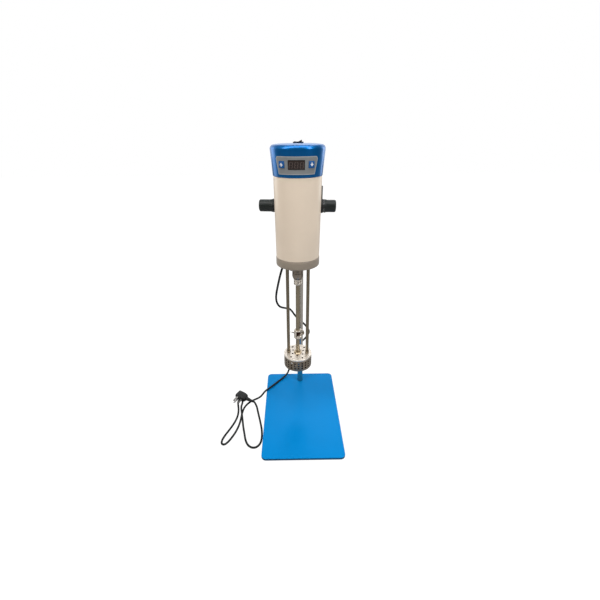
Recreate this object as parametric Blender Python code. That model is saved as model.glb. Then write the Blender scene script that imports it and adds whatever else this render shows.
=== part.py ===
# Laboratory homogenizer: a motor head with a rotor-stator tool, on a column and base plate.
# Metres, +Z up, feet on z = 0, base plate centred on the origin, front towards -Y.
# Pieces of the head are modelled in the head's own frame, whose Z axis is the tool's axis,
# and that frame is swung about the column by HEAD_SWING.

import math

import bmesh
import bpy
from mathutils import Matrix, Vector

# General fits
TOUCH_GAP = 0.0003          # left between two pieces that touch
RUN_GAP = 0.0005            # left between a turning piece and a fixed one
OVERRUN = 0.002             # how far a cutter passes the face that it opens
SMOOTH_ANGLE = math.radians(35)
MERGE = 0.00001

# Stand
PLATE_WIDTH = 0.206
PLATE_DEPTH = 0.309
PLATE_THICKNESS = 0.007
PLATE_CORNER = 0.012
PLATE_EDGE = 0.0016
FOOT_HEIGHT = 0.008
FOOT_RADIUS = 0.011
FOOT_WAIST = 0.009
FOOT_INSET = 0.024
FOOT_RECESS_RADIUS = 0.0045
FOOT_RECESS_DEPTH = 0.003
FOOT_RECESS_TOP_SHARE = 0.8
FOOT_STEM_RADIUS = 0.003
FOOT_STEM_REACH = 0.0045    # how far the stem is pushed up into the plate
COLUMN_INSET = 0.0301       # column axis to the plate's rear edge
COLUMN_Y = PLATE_DEPTH / 2 - COLUMN_INSET
COLUMN_RADIUS = 0.008
COLUMN_HEIGHT = 0.672
COLUMN_CHAMFER = 0.0008
COLUMN_BOLT_RADIUS = 0.004
COLUMN_BOLT_DEPTH = 0.026
COLUMN_BOLT_SHORT = 0.002   # the bolt ends this far below the hole's end
COLUMN_BOLT_HEAD = 0.0072
COLUMN_BOLT_HEAD_HEIGHT = 0.0036
HEX_SOCKET_SHARE = 0.55     # of a screw head's radius
HEX_SOCKET_DEPTH_SHARE = 0.6
COUNTERBORE_DEPTH = 0.0042
CAP_PLUG_HEIGHT = 0.0035
CAP_PLUG_STEM_RADIUS = 0.0028
CAP_PLUG_STEM_LENGTH = 0.009
CAP_PLUG_DOME_SHARES = (0.6, 0.85, 0.35)    # crown's radius, crown's and edge's height

# Head position
HEAD_REACH = 0.0944         # column axis to tool axis
HEAD_SWING = math.radians(-5.5)

# Heights, stacked up from the top of the base plate
RING_BOTTOM = 0.143
STATOR_HEIGHT = 0.036
TOOL_GAP = 0.253            # stator's top to the collar's underside
COLLAR_HEIGHT = 0.019
HOUSING_HEIGHT = 0.171
CAP_HEIGHT = 0.059
STATOR_TOP = RING_BOTTOM + STATOR_HEIGHT
COLLAR_BOTTOM = STATOR_TOP + TOOL_GAP
HOUSING_BOTTOM = COLLAR_BOTTOM + COLLAR_HEIGHT
CAP_BOTTOM = HOUSING_BOTTOM + HOUSING_HEIGHT
CAP_TOP = CAP_BOTTOM + CAP_HEIGHT

# Working head
STATOR_RADIUS = 0.0365
STATOR_PLATE_THICKNESS = 0.005
STATOR_WALL = 0.0026
STATOR_LIP_WIDTH = 0.003
STATOR_LIP_THICKNESS = 0.0025
STATOR_EDGE = 0.0009
STATOR_FLOOR = 0.0022       # floor that leaves a round intake in the middle
INTAKE_RADIUS = 0.0175
WALL_HOLE_RADIUS = 0.0025
WALL_HOLE_COUNT = 24
WALL_HOLE_ROWS = 3
WALL_HOLE_FIRST = 0.009     # lowest row above the ring's lower edge
WALL_HOLE_PITCH = 0.0075
OUTER_HOLE_RADIUS = 0.00275
OUTER_HOLE_PITCH_RADIUS = 0.0272
OUTER_HOLE_ANGLES = (54, 126, 234, 300)
INNER_HOLE_RADIUS = 0.0023
INNER_HOLE_PITCH_RADIUS = 0.0155
INNER_HOLE_ANGLES = (30, 90, 150, 210, 270, 330)
ROD_RADIUS = 0.004
ROD_OFFSET = 0.0245
ROD_CHAMFER = 0.0006
ROD_END_ABOVE = 0.0105      # threaded end above the collar's floor
ROD_NUT_RADIUS = 0.0075
ROD_NUT_HEIGHT = 0.006
ROD_SPIGOT_RADIUS = 0.0025  # the thinner end that is screwed through the stator plate
SHAFT_RADIUS = 0.005
SHAFT_RAISE = 0.007         # shaft's lower end above the ring's lower edge
SHAFT_LOW_END = RING_BOTTOM + SHAFT_RAISE
BUSH_RADIUS = 0.0078
BUSH_FLANGE_RADIUS = 0.0105
BUSH_FLANGE_HEIGHT = 0.0032
BUSH_DROP = 0.0005          # how far the bush stands below the stator plate
ROTOR_TIP_GAP = 0.0009      # between the blades and the ring's wall
ROTOR_TIP = STATOR_RADIUS - STATOR_WALL - ROTOR_TIP_GAP
ROTOR_HUB = 0.0095
ROTOR_BLADE = 0.0045
ROTOR_BLADES = 6
ROTOR_RAISE = 0.0065        # rotor's underside above the ring's lower edge
ROTOR_HEIGHT = 0.0205
ROTOR_BOTTOM = RING_BOTTOM + ROTOR_RAISE
ROTOR_TOP = ROTOR_BOTTOM + ROTOR_HEIGHT
ROTOR_SWEEP = math.radians(14)
ROTOR_SCREW_RADIUS = 0.0025
ROTOR_SCREW_DEPTH = 0.010
ROTOR_SCREW_HEAD = 0.0075
ROTOR_SCREW_HEAD_HEIGHT = 0.0034
PROPELLER_ABOVE = 0.059     # its middle above the stator's top
PROPELLER_MIDDLE = STATOR_TOP + PROPELLER_ABOVE
PROPELLER_HUB_RADIUS = 0.0095
PROPELLER_HUB_HEIGHT = 0.025
PROPELLER_TIP = 0.0195
PROPELLER_BLADE_WIDTH = 0.018
PROPELLER_BLADE_THICKNESS = 0.0018
PROPELLER_EDGE_SHARE = 0.3
PROPELLER_PITCH = math.radians(42)
PROPELLER_BLADES = 3
PROPELLER_TURN = math.radians(-75)
GRUB_RADIUS = 0.0016
COUPLING_RADIUS = 0.0095
COUPLING_HEIGHT = 0.0135
COUPLING_GAP = 0.0015       # between its top and the nose
COUPLING_GROOVE = 0.0007
COUPLING_BAND = 0.0035
MOTOR_SHAFT_RADIUS = 0.006
MOTOR_SHAFT_IN_COUPLING = 0.0080
MOTOR_SHAFT_ABOVE = 0.012   # its upper end above the end bell
NOSE_RADIUS = 0.0130
NOSE_LENGTH = 0.0375
NOSE_CHAMFER = 0.002
NOSE_FLANGE_RADIUS = 0.0165
NOSE_FLANGE_HEIGHT = 0.003
NOSE_BOTTOM = COLLAR_BOTTOM - NOSE_LENGTH
COUPLING_TOP = NOSE_BOTTOM - COUPLING_GAP
COUPLING_BOTTOM = COUPLING_TOP - COUPLING_HEIGHT
MOTOR_SHAFT_LOW_END = COUPLING_TOP - MOTOR_SHAFT_IN_COUPLING

# Motor
COLLAR_RADIUS = 0.0492
COLLAR_FLOOR = 0.008
COLLAR_WALL = 0.006
COLLAR_FILLET = 0.0024
COLLAR_FILLET_SHARE = 0.3
BEARING_LEDGE = 0.002       # below the lower bearing, in the collar's floor
HOUSING_LOW_RADIUS = 0.0486
HOUSING_HIGH_RADIUS = 0.0499
HOUSING_INNER_RADIUS = 0.0452
VENT_COUNT = 7
VENT_WIDTH = 0.0042
VENT_HEIGHT = 0.042
VENT_ROUND_SHARE = 0.98
VENT_RAISE = 0.046          # slots' middle above the housing's lower edge
VENT_MIDDLE = HOUSING_BOTTOM + VENT_RAISE
VENT_STEP = math.radians(11)
CORE_RAISE = 0.041          # stack's underside above the housing's lower edge
CORE_HEIGHT = 0.070
CORE_LOW = HOUSING_BOTTOM + CORE_RAISE
CORE_HIGH = CORE_LOW + CORE_HEIGHT
CORE_BORE = 0.0245
COIL_HEIGHT = 0.013
COIL_INSET = 0.003
COIL_ROUND = 0.004
ARMATURE_RADIUS = 0.0238
BEARING_RADIUS = 0.0130
BEARING_HEIGHT = 0.007
BELL_HEIGHT = 0.006
BELL_DROP = 0.034           # end bell's underside below the cap's lower edge
BELL_BOTTOM = CAP_BOTTOM - BELL_DROP
MOTOR_SHAFT_TOP = BELL_BOTTOM + BELL_HEIGHT + MOTOR_SHAFT_ABOVE
BELL_HOLE_RADIUS = 0.007
BELL_HOLE_PITCH_RADIUS = 0.028
BELL_HOLES = 6
FAN_HEIGHT = 0.008
FAN_DROP = 0.011            # fan's underside below the end bell's
FAN_BOTTOM = BELL_BOTTOM - FAN_DROP
FAN_HUB = 0.012
FAN_TIP = 0.0385
FAN_BLADE = 0.0022
FAN_BLADES = 9
FAN_SWEEP = math.radians(20)
COLLAR_SCREW_RADIUS = 0.0018
COLLAR_SCREW_HEAD = 0.0034
COLLAR_SCREW_HEAD_HEIGHT = 0.0022
COLLAR_SCREW_PITCH_RADIUS = 0.0412
COLLAR_SCREW_ANGLES = (75, 255, 345)
COLLAR_SCREW_LENGTH = 0.0052

# Control cap
CAP_LOW_RADIUS = 0.0505
CAP_HIGH_RADIUS = 0.0551
CAP_RIM = 0.008
CAP_WALL = 0.003
CAP_LOW_EDGE = 0.001
CAP_SPIGOT_RADIUS = 0.0449
CAP_SPIGOT_DEPTH = 0.006
CAP_SPIGOT_WALL = 0.002
PANEL_RAISE = 0.006         # panel's lower edge above the cap's
PANEL_HEIGHT = 0.032
PANEL_LOW = CAP_BOTTOM + PANEL_RAISE
PANEL_HIGH = PANEL_LOW + PANEL_HEIGHT
PANEL_THICKNESS = 0.0011
PANEL_HALF_TOP = math.radians(47)
PANEL_HALF_LOW = math.radians(41)
PANEL_CLIP_SHARE = 0.07
PANEL_CLIP_DROP = 0.004
PANEL_MIDDLE = math.radians(1.5)
PANEL_STEPS = 20
WINDOW_HALF = math.radians(17.6)
WINDOW_RAISE = 0.0090       # window's lower edge above the panel's
WINDOW_HEIGHT = 0.0168
WINDOW_LOW = PANEL_LOW + WINDOW_RAISE
WINDOW_HIGH = WINDOW_LOW + WINDOW_HEIGHT
WINDOW_PROUD = 0.0004
WINDOW_DEPTH = 0.0020
WINDOW_STEPS = 10
WINDOW_HALF_WIDTH = 0.0159
MODULE_DEPTH = 0.0075
MODULE_INSET = 0.0038       # display's face inside the cap's outer face there
BOARD_WIDTH = 0.046
BOARD_RAISE = 0.0015        # board's lower edge above the panel's
BOARD_HEIGHT = 0.0315
BOARD_LOW = PANEL_LOW + BOARD_RAISE
BOARD_HIGH = BOARD_LOW + BOARD_HEIGHT
BOARD_THICKNESS = 0.0016
BUTTON_SIZE = 0.0120
BUTTON_RAISE = 0.0177       # buttons' middle above the panel's lower edge
BUTTON_MIDDLE = PANEL_LOW + BUTTON_RAISE
BUTTON_ANGLE = math.radians(31.5)
BUTTON_PROUD = 0.0016
BUTTON_LENGTH = 0.0062
BUTTON_ROUND = 0.0009
SWITCH_Y = 0.020
SWITCH_WIDTH = 0.0215
SWITCH_DEPTH = 0.0150
SWITCH_FRAME = 0.0016
SWITCH_FRAME_HEIGHT = 0.0018
SWITCH_EDGE_SHARE = 0.3
SWITCH_SKIRT = 0.0120
SWITCH_SKIRT_WALL = 0.0008
ROCKER_TILT = math.radians(11)
ROCKER_RISE = 0.0024
ROCKER_SADDLE = 0.0012
ROCKER_DROP = 0.0062
ROCKER_FOOT_SHARE = 0.55
ROCKER_HEEL_SHARE = 0.98
ROCKER_VALLEY_SHARES = (0.45, 1.15)     # half-way point's place and its height
ROCKER_EDGE_SHARE = 0.15
ROCKER_END_GAP = 0.0007

# Bracket, its knobs and its stop
BRACKET_RAISE = 0.092       # bracket's underside above the housing's lower edge
BRACKET_HEIGHT = 0.057
BRACKET_LOW = HOUSING_BOTTOM + BRACKET_RAISE
BRACKET_HIGH = BRACKET_LOW + BRACKET_HEIGHT
SADDLE_RADIUS = 0.0545
SADDLE_BORE = 0.0503
SADDLE_FRONT = 0.016        # how far behind the tool's axis the saddle's ends are
NECK_HALF_WIDTH = 0.015
NECK_INSET = 0.004
CLAMP_RADIUS = 0.0185
EAR_HALF_WIDTH = 0.0125
EAR_DEPTH = 0.0292
EAR_SLIT = 0.0026
CLAMP_SCREW_Y = 0.0236
CLAMP_SCREW_SPREAD = 0.017
CLAMP_SCREW_RADIUS = 0.003
CLAMP_SCREW_HEAD = 0.005
CLAMP_SCREW_HEAD_HEIGHT = 0.005
BRACKET_ROUND = 0.0012
KNOB_RAISE = 0.012          # knobs' axis above the bracket's underside
KNOB_Z = BRACKET_LOW + KNOB_RAISE
KNOB_Y = 0.034
KNOB_RADIUS = 0.0132
KNOB_LENGTHS = (0.0326, 0.0262)     # left, right
KNOB_START = 0.0562
KNOB_ROUND = 0.0028
KNOB_CORNER_SHARE = 0.3
KNOB_SKIRT_RADIUS = 0.0150
KNOB_SKIRT_LENGTH = 0.0085
KNOB_SKIRT_SHARES = (0.45, 0.35)    # of its length and of its flare, half-way down
KNOB_BOSS_RADIUS = 0.0138
KNOB_BOSS_FLARE = 0.0030
KNOB_BOSS_SHARE = 0.35
STUD_RADIUS = 0.004
STUD_INNER = 0.0385
STUD_BORE_SHARE = 0.6       # where the housing's stud bores start, of STUD_INNER
STUD_INTO_KNOB = 0.018
STOP_RADIUS = 0.0155
STOP_HEIGHT = 0.012
STOP_ROUND = 0.001
STOP_SCREW_RADIUS = 0.0025
STOP_SCREW_HEAD = 0.0058
STOP_SCREW_HEAD_LENGTH = 0.008

# Mains lead
CORD_RADIUS = 0.0027
GLAND_X = -0.0375
GLAND_Y = 0.0090
GLAND_BODY_RADIUS = 0.0082
GLAND_BODY_HEIGHT = 0.006
GLAND_NUT_RADIUS = 0.0072
GLAND_NUT_HEIGHT = 0.008
GLAND_MOUTH_SHARES = (0.9, 0.7, 0.6)    # radius and height of the round-off, mouth
GLAND_STEM_RADIUS = 0.0055
GLAND_STEM_UP = 0.0076
SPLIT_HEIGHT = 0.030        # where the hanging stretch ends, above the base plate
CORD_START_ABOVE = 0.006    # the lead's upper end, above the collar's underside
CORD_STEP = 0.0124
PLUG_PLACE = (-0.1755, 0.0545)
PLUG_TURN = math.radians(-32)
PLUG_LENGTH = 0.032
PLUG_WIDTH = 0.024
PLUG_HEIGHT = 0.019
PLUG_BASE_Z = 0.0062
PLUG_ROUND = 0.0035
PLUG_NOSE_SHARE = 0.72
CORD_END_SHARES = (4, 2)    # last points before the plug, in the lead's radius
CORD_TURN_SHARE = 1.6       # the lower stretch's second point, in the lead's radius
RELIEF_LENGTH = 0.020
RELIEF_RADIUS = 0.0056
RELIEF_END_RADIUS = 0.0036
PIN_LENGTH = 0.018
PIN_WIDTH = 0.0063
PIN_THICKNESS = 0.0016
PIN_SPREAD = 0.0072
PIN_DROP = 0.0042
PIN_SLANT = math.radians(30)
PIN_ROOT = 0.004
PIN_EDGE_SHARE = 0.3

# Route of the lead's hanging stretch: x, y and height above the base plate
DROP_ROUTE = (
    (-0.0485, 0.0470, 0.4040), (-0.0530, 0.0540, 0.3850), (-0.0580, 0.0660, 0.3600),
    (-0.0630, 0.0800, 0.3320), (-0.0650, 0.0910, 0.3090), (-0.0625, 0.1010, 0.2890),
    (-0.0550, 0.1100, 0.2740), (-0.0430, 0.1180, 0.2660), (-0.0310, 0.1260, 0.2590),
    (-0.0230, 0.1320, 0.2470), (-0.0130, 0.1380, 0.2280), (0.0020, 0.1430, 0.2080),
    (0.0170, 0.1465, 0.1900), (0.0275, 0.1485, 0.1670), (0.0180, 0.1505, 0.1440),
    (0.0020, 0.1515, 0.1240), (-0.0120, 0.1520, 0.0980), (-0.0240, 0.1515, 0.0690),
    (-0.0320, 0.1500, 0.0470), (-0.0335, 0.1490, 0.0370),
)
# Route of the stretch that lies on the plate and the floor: x, y, z
FLOOR_ROUTE = (
    (-0.0345, 0.1485, 0.0385), (-0.0375, 0.1465, 0.0300), (-0.0430, 0.1420, 0.0232),
    (-0.0510, 0.1340, 0.0196), (-0.0630, 0.1210, 0.0187), (-0.0780, 0.1040, 0.0187),
    (-0.0915, 0.0885, 0.0190), (-0.1010, 0.0790, 0.0191), (-0.1085, 0.0725, 0.0166),
    (-0.1150, 0.0678, 0.0106), (-0.1210, 0.0637, 0.0056), (-0.1285, 0.0592, 0.0033),
    (-0.1375, 0.0540, 0.0030), (-0.1470, 0.0475, 0.0030), (-0.1570, 0.0375, 0.0030),
    (-0.1650, 0.0235, 0.0030), (-0.1688, 0.0070, 0.0030), (-0.1700, -0.0120, 0.0030),
    (-0.1712, -0.0310, 0.0030), (-0.1745, -0.0500, 0.0030), (-0.1805, -0.0690, 0.0030),
    (-0.1890, -0.0870, 0.0030), (-0.1960, -0.0975, 0.0030), (-0.2030, -0.1025, 0.0030),
    (-0.2095, -0.0985, 0.0030), (-0.2095, -0.0870, 0.0030), (-0.2040, -0.0720, 0.0030),
    (-0.1945, -0.0520, 0.0030), (-0.1860, -0.0310, 0.0030), (-0.1810, -0.0090, 0.0030),
    (-0.1815, 0.0130, 0.0030), (-0.1850, 0.0310, 0.0030), (-0.1873, 0.0440, 0.0030),
    (-0.1838, 0.0540, 0.0030), (-0.1768, 0.0540, 0.0030), (-0.1740, 0.0455, 0.0030),
    (-0.1742, 0.0370, 0.0031), (-0.1745, 0.0295, 0.0050), (-0.1740, 0.0205, 0.0082),
    (-0.1722, 0.0085, 0.0098), (-0.1690, -0.0055, 0.0098), (-0.1660, -0.0195, 0.0082),
    (-0.1630, -0.0335, 0.0044), (-0.1594, -0.0500, 0.0030), (-0.1542, -0.0700, 0.0030),
    (-0.1490, -0.0890, 0.0030), (-0.1415, -0.1040, 0.0030), (-0.1300, -0.1125, 0.0030),
    (-0.1180, -0.1110, 0.0030), (-0.1095, -0.1000, 0.0030), (-0.1070, -0.0820, 0.0030),
    (-0.1090, -0.0580, 0.0030), (-0.1145, -0.0330, 0.0030), (-0.1205, -0.0100, 0.0030),
    (-0.1250, 0.0060, 0.0052), (-0.1288, 0.0180, 0.0106),
)

PLATE_BOTTOM_Z = FOOT_HEIGHT + TOUCH_GAP
PLATE_TOP_Z = PLATE_BOTTOM_Z + PLATE_THICKNESS


# Scene and materials

def clear_scene():
    for obj in list(bpy.data.objects):
        bpy.data.objects.remove(obj, do_unlink=True)


def finish(name, colour, roughness, metallic=0.0, coat=0.0):
    """A Principled material with the piece's plain colour."""
    material = bpy.data.materials.new(name)
    material.use_nodes = True
    shader = material.node_tree.nodes["Principled BSDF"]
    shader.inputs["Base Color"].default_value = (*colour, 1.0)
    shader.inputs["Roughness"].default_value = roughness
    shader.inputs["Metallic"].default_value = metallic
    shader.inputs["Coat Weight"].default_value = coat
    return material


PAINT_BLUE = ((0.003, 0.215, 0.600), 0.22, 0.0, 0.5)
PAINT_CREAM = ((0.745, 0.620, 0.470), 0.32, 0.0, 0.3)
PAINT_GREY = ((0.330, 0.290, 0.235), 0.42)
STEEL = ((0.56, 0.52, 0.47), 0.22, 1.0)
STEEL_DARK = ((0.34, 0.31, 0.28), 0.35, 1.0)
BLACK_PLASTIC = ((0.012, 0.012, 0.013), 0.45)
RUBBER = ((0.016, 0.016, 0.017), 0.80)
BRASS = ((0.72, 0.50, 0.20), 0.30, 1.0)
COPPER = ((0.60, 0.27, 0.12), 0.40, 1.0)
MEMBRANE = ((0.42, 0.42, 0.40), 0.50)
BUTTON_BLUE = ((0.010, 0.110, 0.300), 0.45)
DISPLAY_DARK = ((0.040, 0.018, 0.014), 0.12)
BOARD_GREEN = ((0.03, 0.16, 0.07), 0.55)


# Building helpers

def add(name, mesh, look, parent=None, place=(0.0, 0.0, 0.0)):
    """Link a mesh as a named object with its own material."""
    obj = bpy.data.objects.new(name, mesh)
    bpy.context.scene.collection.objects.link(obj)
    obj.location = place
    if parent is not None:
        obj.parent = parent
    if look is not None:
        mesh.materials.append(finish(name, *look))
    return obj


def cutter(obj):
    obj.hide_render = True
    obj.display_type = "WIRE"
    return obj


def smooth(obj):
    for polygon in obj.data.polygons:
        polygon.use_smooth = True
    obj.data.set_sharp_from_angle(angle=SMOOTH_ANGLE)


def turned(name, profile, look, parent=None, place=(0.0, 0.0, 0.0), steps=20, ring=False,
           spin_axis="Z"):
    """Turn a profile of (radius, height) about an axis, top of its outer side first."""
    mesh = bpy.data.meshes.new(name)
    points = [(radius, 0.0, height) for radius, height in profile]
    edges = [(index, index + 1) for index in range(len(points) - 1)]
    if ring:
        edges.append((len(points) - 1, 0))
    mesh.from_pydata(points, edges, [])
    obj = add(name, mesh, look, parent, place)
    if spin_axis == "X":
        obj.rotation_euler = (0.0, math.radians(90), 0.0)
    if spin_axis == "-X":
        obj.rotation_euler = (0.0, math.radians(-90), 0.0)
    if spin_axis == "Y":
        obj.rotation_euler = (math.radians(-90), 0.0, 0.0)
    screw = obj.modifiers.new("Turn", "SCREW")
    screw.axis = "Z"
    screw.angle = math.tau
    screw.steps = steps
    screw.render_steps = steps
    screw.use_merge_vertices = True
    screw.merge_threshold = MERGE
    screw.use_smooth_shade = False
    return obj


def disc_profile(radius, low, high, edge=0.0):
    """Profile of a solid round piece, with both its edges chamfered."""
    if edge == 0.0:
        return [(0.0, high), (radius, high), (radius, low), (0.0, low)]
    return [(0.0, high), (radius - edge, high), (radius, high - edge),
            (radius, low + edge), (radius - edge, low), (0.0, low)]


def ring_profile(outer, inner, low, high, edge=0.0):
    if edge == 0.0:
        return [(inner, high), (outer, high), (outer, low), (inner, low)]
    return [(inner, high), (outer - edge, high), (outer, high - edge),
            (outer, low + edge), (outer - edge, low), (inner, low)]


def prism(name, outline, low, high, look, parent=None, place=(0.0, 0.0, 0.0)):
    """Raise a closed outline of (x, y) points from one height to another."""
    mesh = bpy.data.meshes.new(name)
    shape = bmesh.new()
    corners = [shape.verts.new((x, y, low)) for x, y in outline]
    face = shape.faces.new(corners)
    raised = bmesh.ops.extrude_face_region(shape, geom=[face])
    lifted = [item for item in raised["geom"] if isinstance(item, bmesh.types.BMVert)]
    bmesh.ops.translate(shape, verts=lifted, vec=(0.0, 0.0, high - low))
    bmesh.ops.recalc_face_normals(shape, faces=shape.faces)
    shape.to_mesh(mesh)
    shape.free()
    return add(name, mesh, look, parent, place)


def box(name, size, middle, look, parent=None, place=(0.0, 0.0, 0.0)):
    """A block given by its size and the middle of its volume."""
    mesh = bpy.data.meshes.new(name)
    shape = bmesh.new()
    bmesh.ops.create_cube(shape, size=1.0)
    bmesh.ops.scale(shape, verts=shape.verts, vec=size)
    bmesh.ops.translate(shape, verts=shape.verts, vec=middle)
    shape.to_mesh(mesh)
    shape.free()
    return add(name, mesh, look, parent, place)


def rounded_rectangle(width, depth, radius, steps=5):
    points = []
    for corner, (sx, sy) in enumerate(((1, 1), (-1, 1), (-1, -1), (1, -1))):
        for step in range(steps + 1):
            angle = math.radians(90) * (corner + step / steps)
            points.append((sx * (width / 2 - radius) + radius * math.cos(angle),
                           sy * (depth / 2 - radius) + radius * math.sin(angle)))
    return points


def rounded(obj, width, segments=2, angle=math.radians(40)):
    bevel = obj.modifiers.new("Round", "BEVEL")
    bevel.width = width
    bevel.segments = segments
    bevel.limit_method = "ANGLE"
    bevel.angle_limit = angle
    bevel.use_clamp_overlap = True
    return obj


def boolean(obj, other, operation, solver="EXACT"):
    step = obj.modifiers.new(operation.title(), "BOOLEAN")
    step.operation = operation
    step.solver = solver
    step.object = cutter(other)
    return obj


def cut(obj, *others, solver="EXACT"):
    for other in others:
        boolean(obj, other, "DIFFERENCE", solver)
    return obj


def join(obj, *others):
    for other in others:
        boolean(obj, other, "UNION")
    return obj


def cutting_rod(name, radius, start, end, parent=None, steps=20):
    """A round cutter between two points."""
    start = Vector(start)
    end = Vector(end)
    mesh = bpy.data.meshes.new(name)
    shape = bmesh.new()
    bmesh.ops.create_cone(shape, cap_ends=True, segments=steps, radius1=radius,
                          radius2=radius, depth=(end - start).length)
    turn = (end - start).to_track_quat("Z", "Y").to_matrix().to_4x4()
    bmesh.ops.transform(shape, verts=shape.verts,
                        matrix=Matrix.Translation((start + end) / 2) @ turn)
    shape.to_mesh(mesh)
    shape.free()
    return cutter(add(name, mesh, None, parent))


def many_cutting_rods(name, radius, ends, parent=None, steps=12):
    """Several round cutters that don't meet, in one object."""
    mesh = bpy.data.meshes.new(name)
    shape = bmesh.new()
    for start, end in ends:
        start = Vector(start)
        end = Vector(end)
        turn = (end - start).to_track_quat("Z", "Y").to_matrix().to_4x4()
        bmesh.ops.create_cone(shape, cap_ends=True, segments=steps, radius1=radius,
                              radius2=radius, depth=(end - start).length,
                              matrix=Matrix.Translation((start + end) / 2) @ turn)
    shape.to_mesh(mesh)
    shape.free()
    return cutter(add(name, mesh, None, parent))


def blade_star(hub, tip, blade, count, sweep, steps=5):
    """Outline of a hub with straight-sided blades that lean back towards their tips."""
    points = []
    root = math.asin(blade / 2 / hub)
    end = math.asin(blade / 2 / tip)
    for index in range(count):
        middle = math.tau * index / count
        tip_middle = middle + sweep
        points.append((hub * math.cos(middle - root), hub * math.sin(middle - root)))
        points.append((tip * math.cos(tip_middle - end), tip * math.sin(tip_middle - end)))
        points.append((tip * math.cos(tip_middle + end), tip * math.sin(tip_middle + end)))
        points.append((hub * math.cos(middle + root), hub * math.sin(middle + root)))
        gap = math.tau / count - 2 * root
        for step in range(1, steps):
            angle = middle + root + gap * step / steps
            points.append((hub * math.cos(angle), hub * math.sin(angle)))
    return points


def up(height):
    """A height above the base plate, as a height above the floor."""
    return PLATE_TOP_Z + height


def socket_screw(name, shank, head, head_height, length, look, parent=None,
                 place=(0.0, 0.0, 0.0), spin_axis="Z", steps=20):
    """A socket-head screw: its head's underside is at zero and its shank points up."""
    socket = head * HEX_SOCKET_SHARE
    floor = -head_height * (1 - HEX_SOCKET_DEPTH_SHARE)
    profile = [(0.0, length), (shank, length), (shank, 0.0), (head, 0.0),
               (head, -head_height), (socket, -head_height), (socket, floor), (0.0, floor)]
    return turned(name, profile, look, parent, place, steps=steps, spin_axis=spin_axis)


def cap_radius(height):
    """The control cap's outer radius at a height above the base plate."""
    share = (height - CAP_BOTTOM) / (CAP_TOP - CAP_RIM - CAP_BOTTOM)
    return CAP_LOW_RADIUS + (CAP_HIGH_RADIUS - CAP_LOW_RADIUS) * share


def cap_patch(name, low, high, half_low, half_high, offset, thickness, steps, look, parent,
              clip_share=0.0, clip_drop=0.0):
    """A thin piece that follows the cap's tapered front."""
    mesh = bpy.data.meshes.new(name)
    shape = bmesh.new()
    columns = []
    for step in range(steps + 1):
        across = 2 * step / steps - 1
        top = high
        if clip_share > 0.0 and abs(across) > 1 - clip_share:
            top = high - clip_drop * (abs(across) - 1 + clip_share) / clip_share
        column = []
        for height, half in ((low, half_low), (top, half_high)):
            angle = PANEL_MIDDLE + across * half
            for out in (offset, offset + thickness):
                radius = cap_radius(height) + out
                column.append(shape.verts.new((radius * math.sin(angle),
                                               -radius * math.cos(angle), up(height))))
        columns.append(column)
    for left, right in zip(columns, columns[1:]):
        shape.faces.new((left[1], right[1], right[3], left[3]))
        shape.faces.new((right[0], left[0], left[2], right[2]))
        shape.faces.new((left[0], right[0], right[1], left[1]))
        shape.faces.new((left[3], right[3], right[2], left[2]))
    first = columns[0]
    last = columns[-1]
    shape.faces.new((first[0], first[1], first[3], first[2]))
    shape.faces.new((last[1], last[0], last[2], last[3]))
    bmesh.ops.recalc_face_normals(shape, faces=shape.faces)
    shape.to_mesh(mesh)
    shape.free()
    return add(name, mesh, look, parent)


def smooth_route(points, spacing):
    """Evenly spaced points on a smooth curve through hand-chosen points."""
    route = [Vector(point) for point in points]
    route = [route[0] * 2 - route[1]] + route + [route[-1] * 2 - route[-2]]
    fine = []
    for index in range(1, len(route) - 2):
        a, b, c, d = route[index - 1:index + 3]
        for step in range(20):
            t = step / 20
            fine.append(0.5 * (2 * b + (c - a) * t + (2 * a - 5 * b + 4 * c - d) * t ** 2
                               + (3 * b - a - 3 * c + d) * t ** 3))
    fine.append(route[-2])
    total = sum((after - before).length for before, after in zip(fine, fine[1:]))
    count = max(2, round(total / spacing))
    even = [fine[0]]
    walked = 0.0
    for before, after in zip(fine, fine[1:]):
        piece = (after - before).length
        while len(even) < count and walked + piece >= total * len(even) / count:
            share = (total * len(even) / count - walked) / piece
            even.append(before.lerp(after, share))
        walked += piece
    even.append(fine[-1])
    return even


def cord(name, points, look):
    """A round lead along a route, with closed ends."""
    curve = bpy.data.curves.new(name, "CURVE")
    curve.dimensions = "3D"
    curve.bevel_depth = CORD_RADIUS
    curve.bevel_resolution = 2
    curve.use_fill_caps = True
    spline = curve.splines.new("POLY")
    spline.points.add(len(points) - 1)
    for target, point in zip(spline.points, points):
        target.co = (*point, 1.0)
    obj = bpy.data.objects.new(name, curve)
    bpy.context.scene.collection.objects.link(obj)
    curve.materials.append(finish(name, *look))
    return obj


clear_scene()

# The head's own frame: its origin is on the tool's axis, at floor level
COLUMN_AXIS = Matrix.Translation((0.0, COLUMN_Y, 0.0))
HEAD_MATRIX = (COLUMN_AXIS @ Matrix.Rotation(HEAD_SWING, 4, "Z")
               @ Matrix.Translation((0.0, -HEAD_REACH, 0.0)))
head = bpy.data.objects.new("head_frame", None)
bpy.context.scene.collection.objects.link(head)
head.location = HEAD_MATRIX.to_translation()
head.rotation_euler = (0.0, 0.0, HEAD_SWING)


# Stand

foot_places = [(sx * (PLATE_WIDTH / 2 - FOOT_INSET), sy * (PLATE_DEPTH / 2 - FOOT_INSET))
               for sx, sy in ((-1, -1), (1, -1), (1, 1), (-1, 1))]

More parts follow.
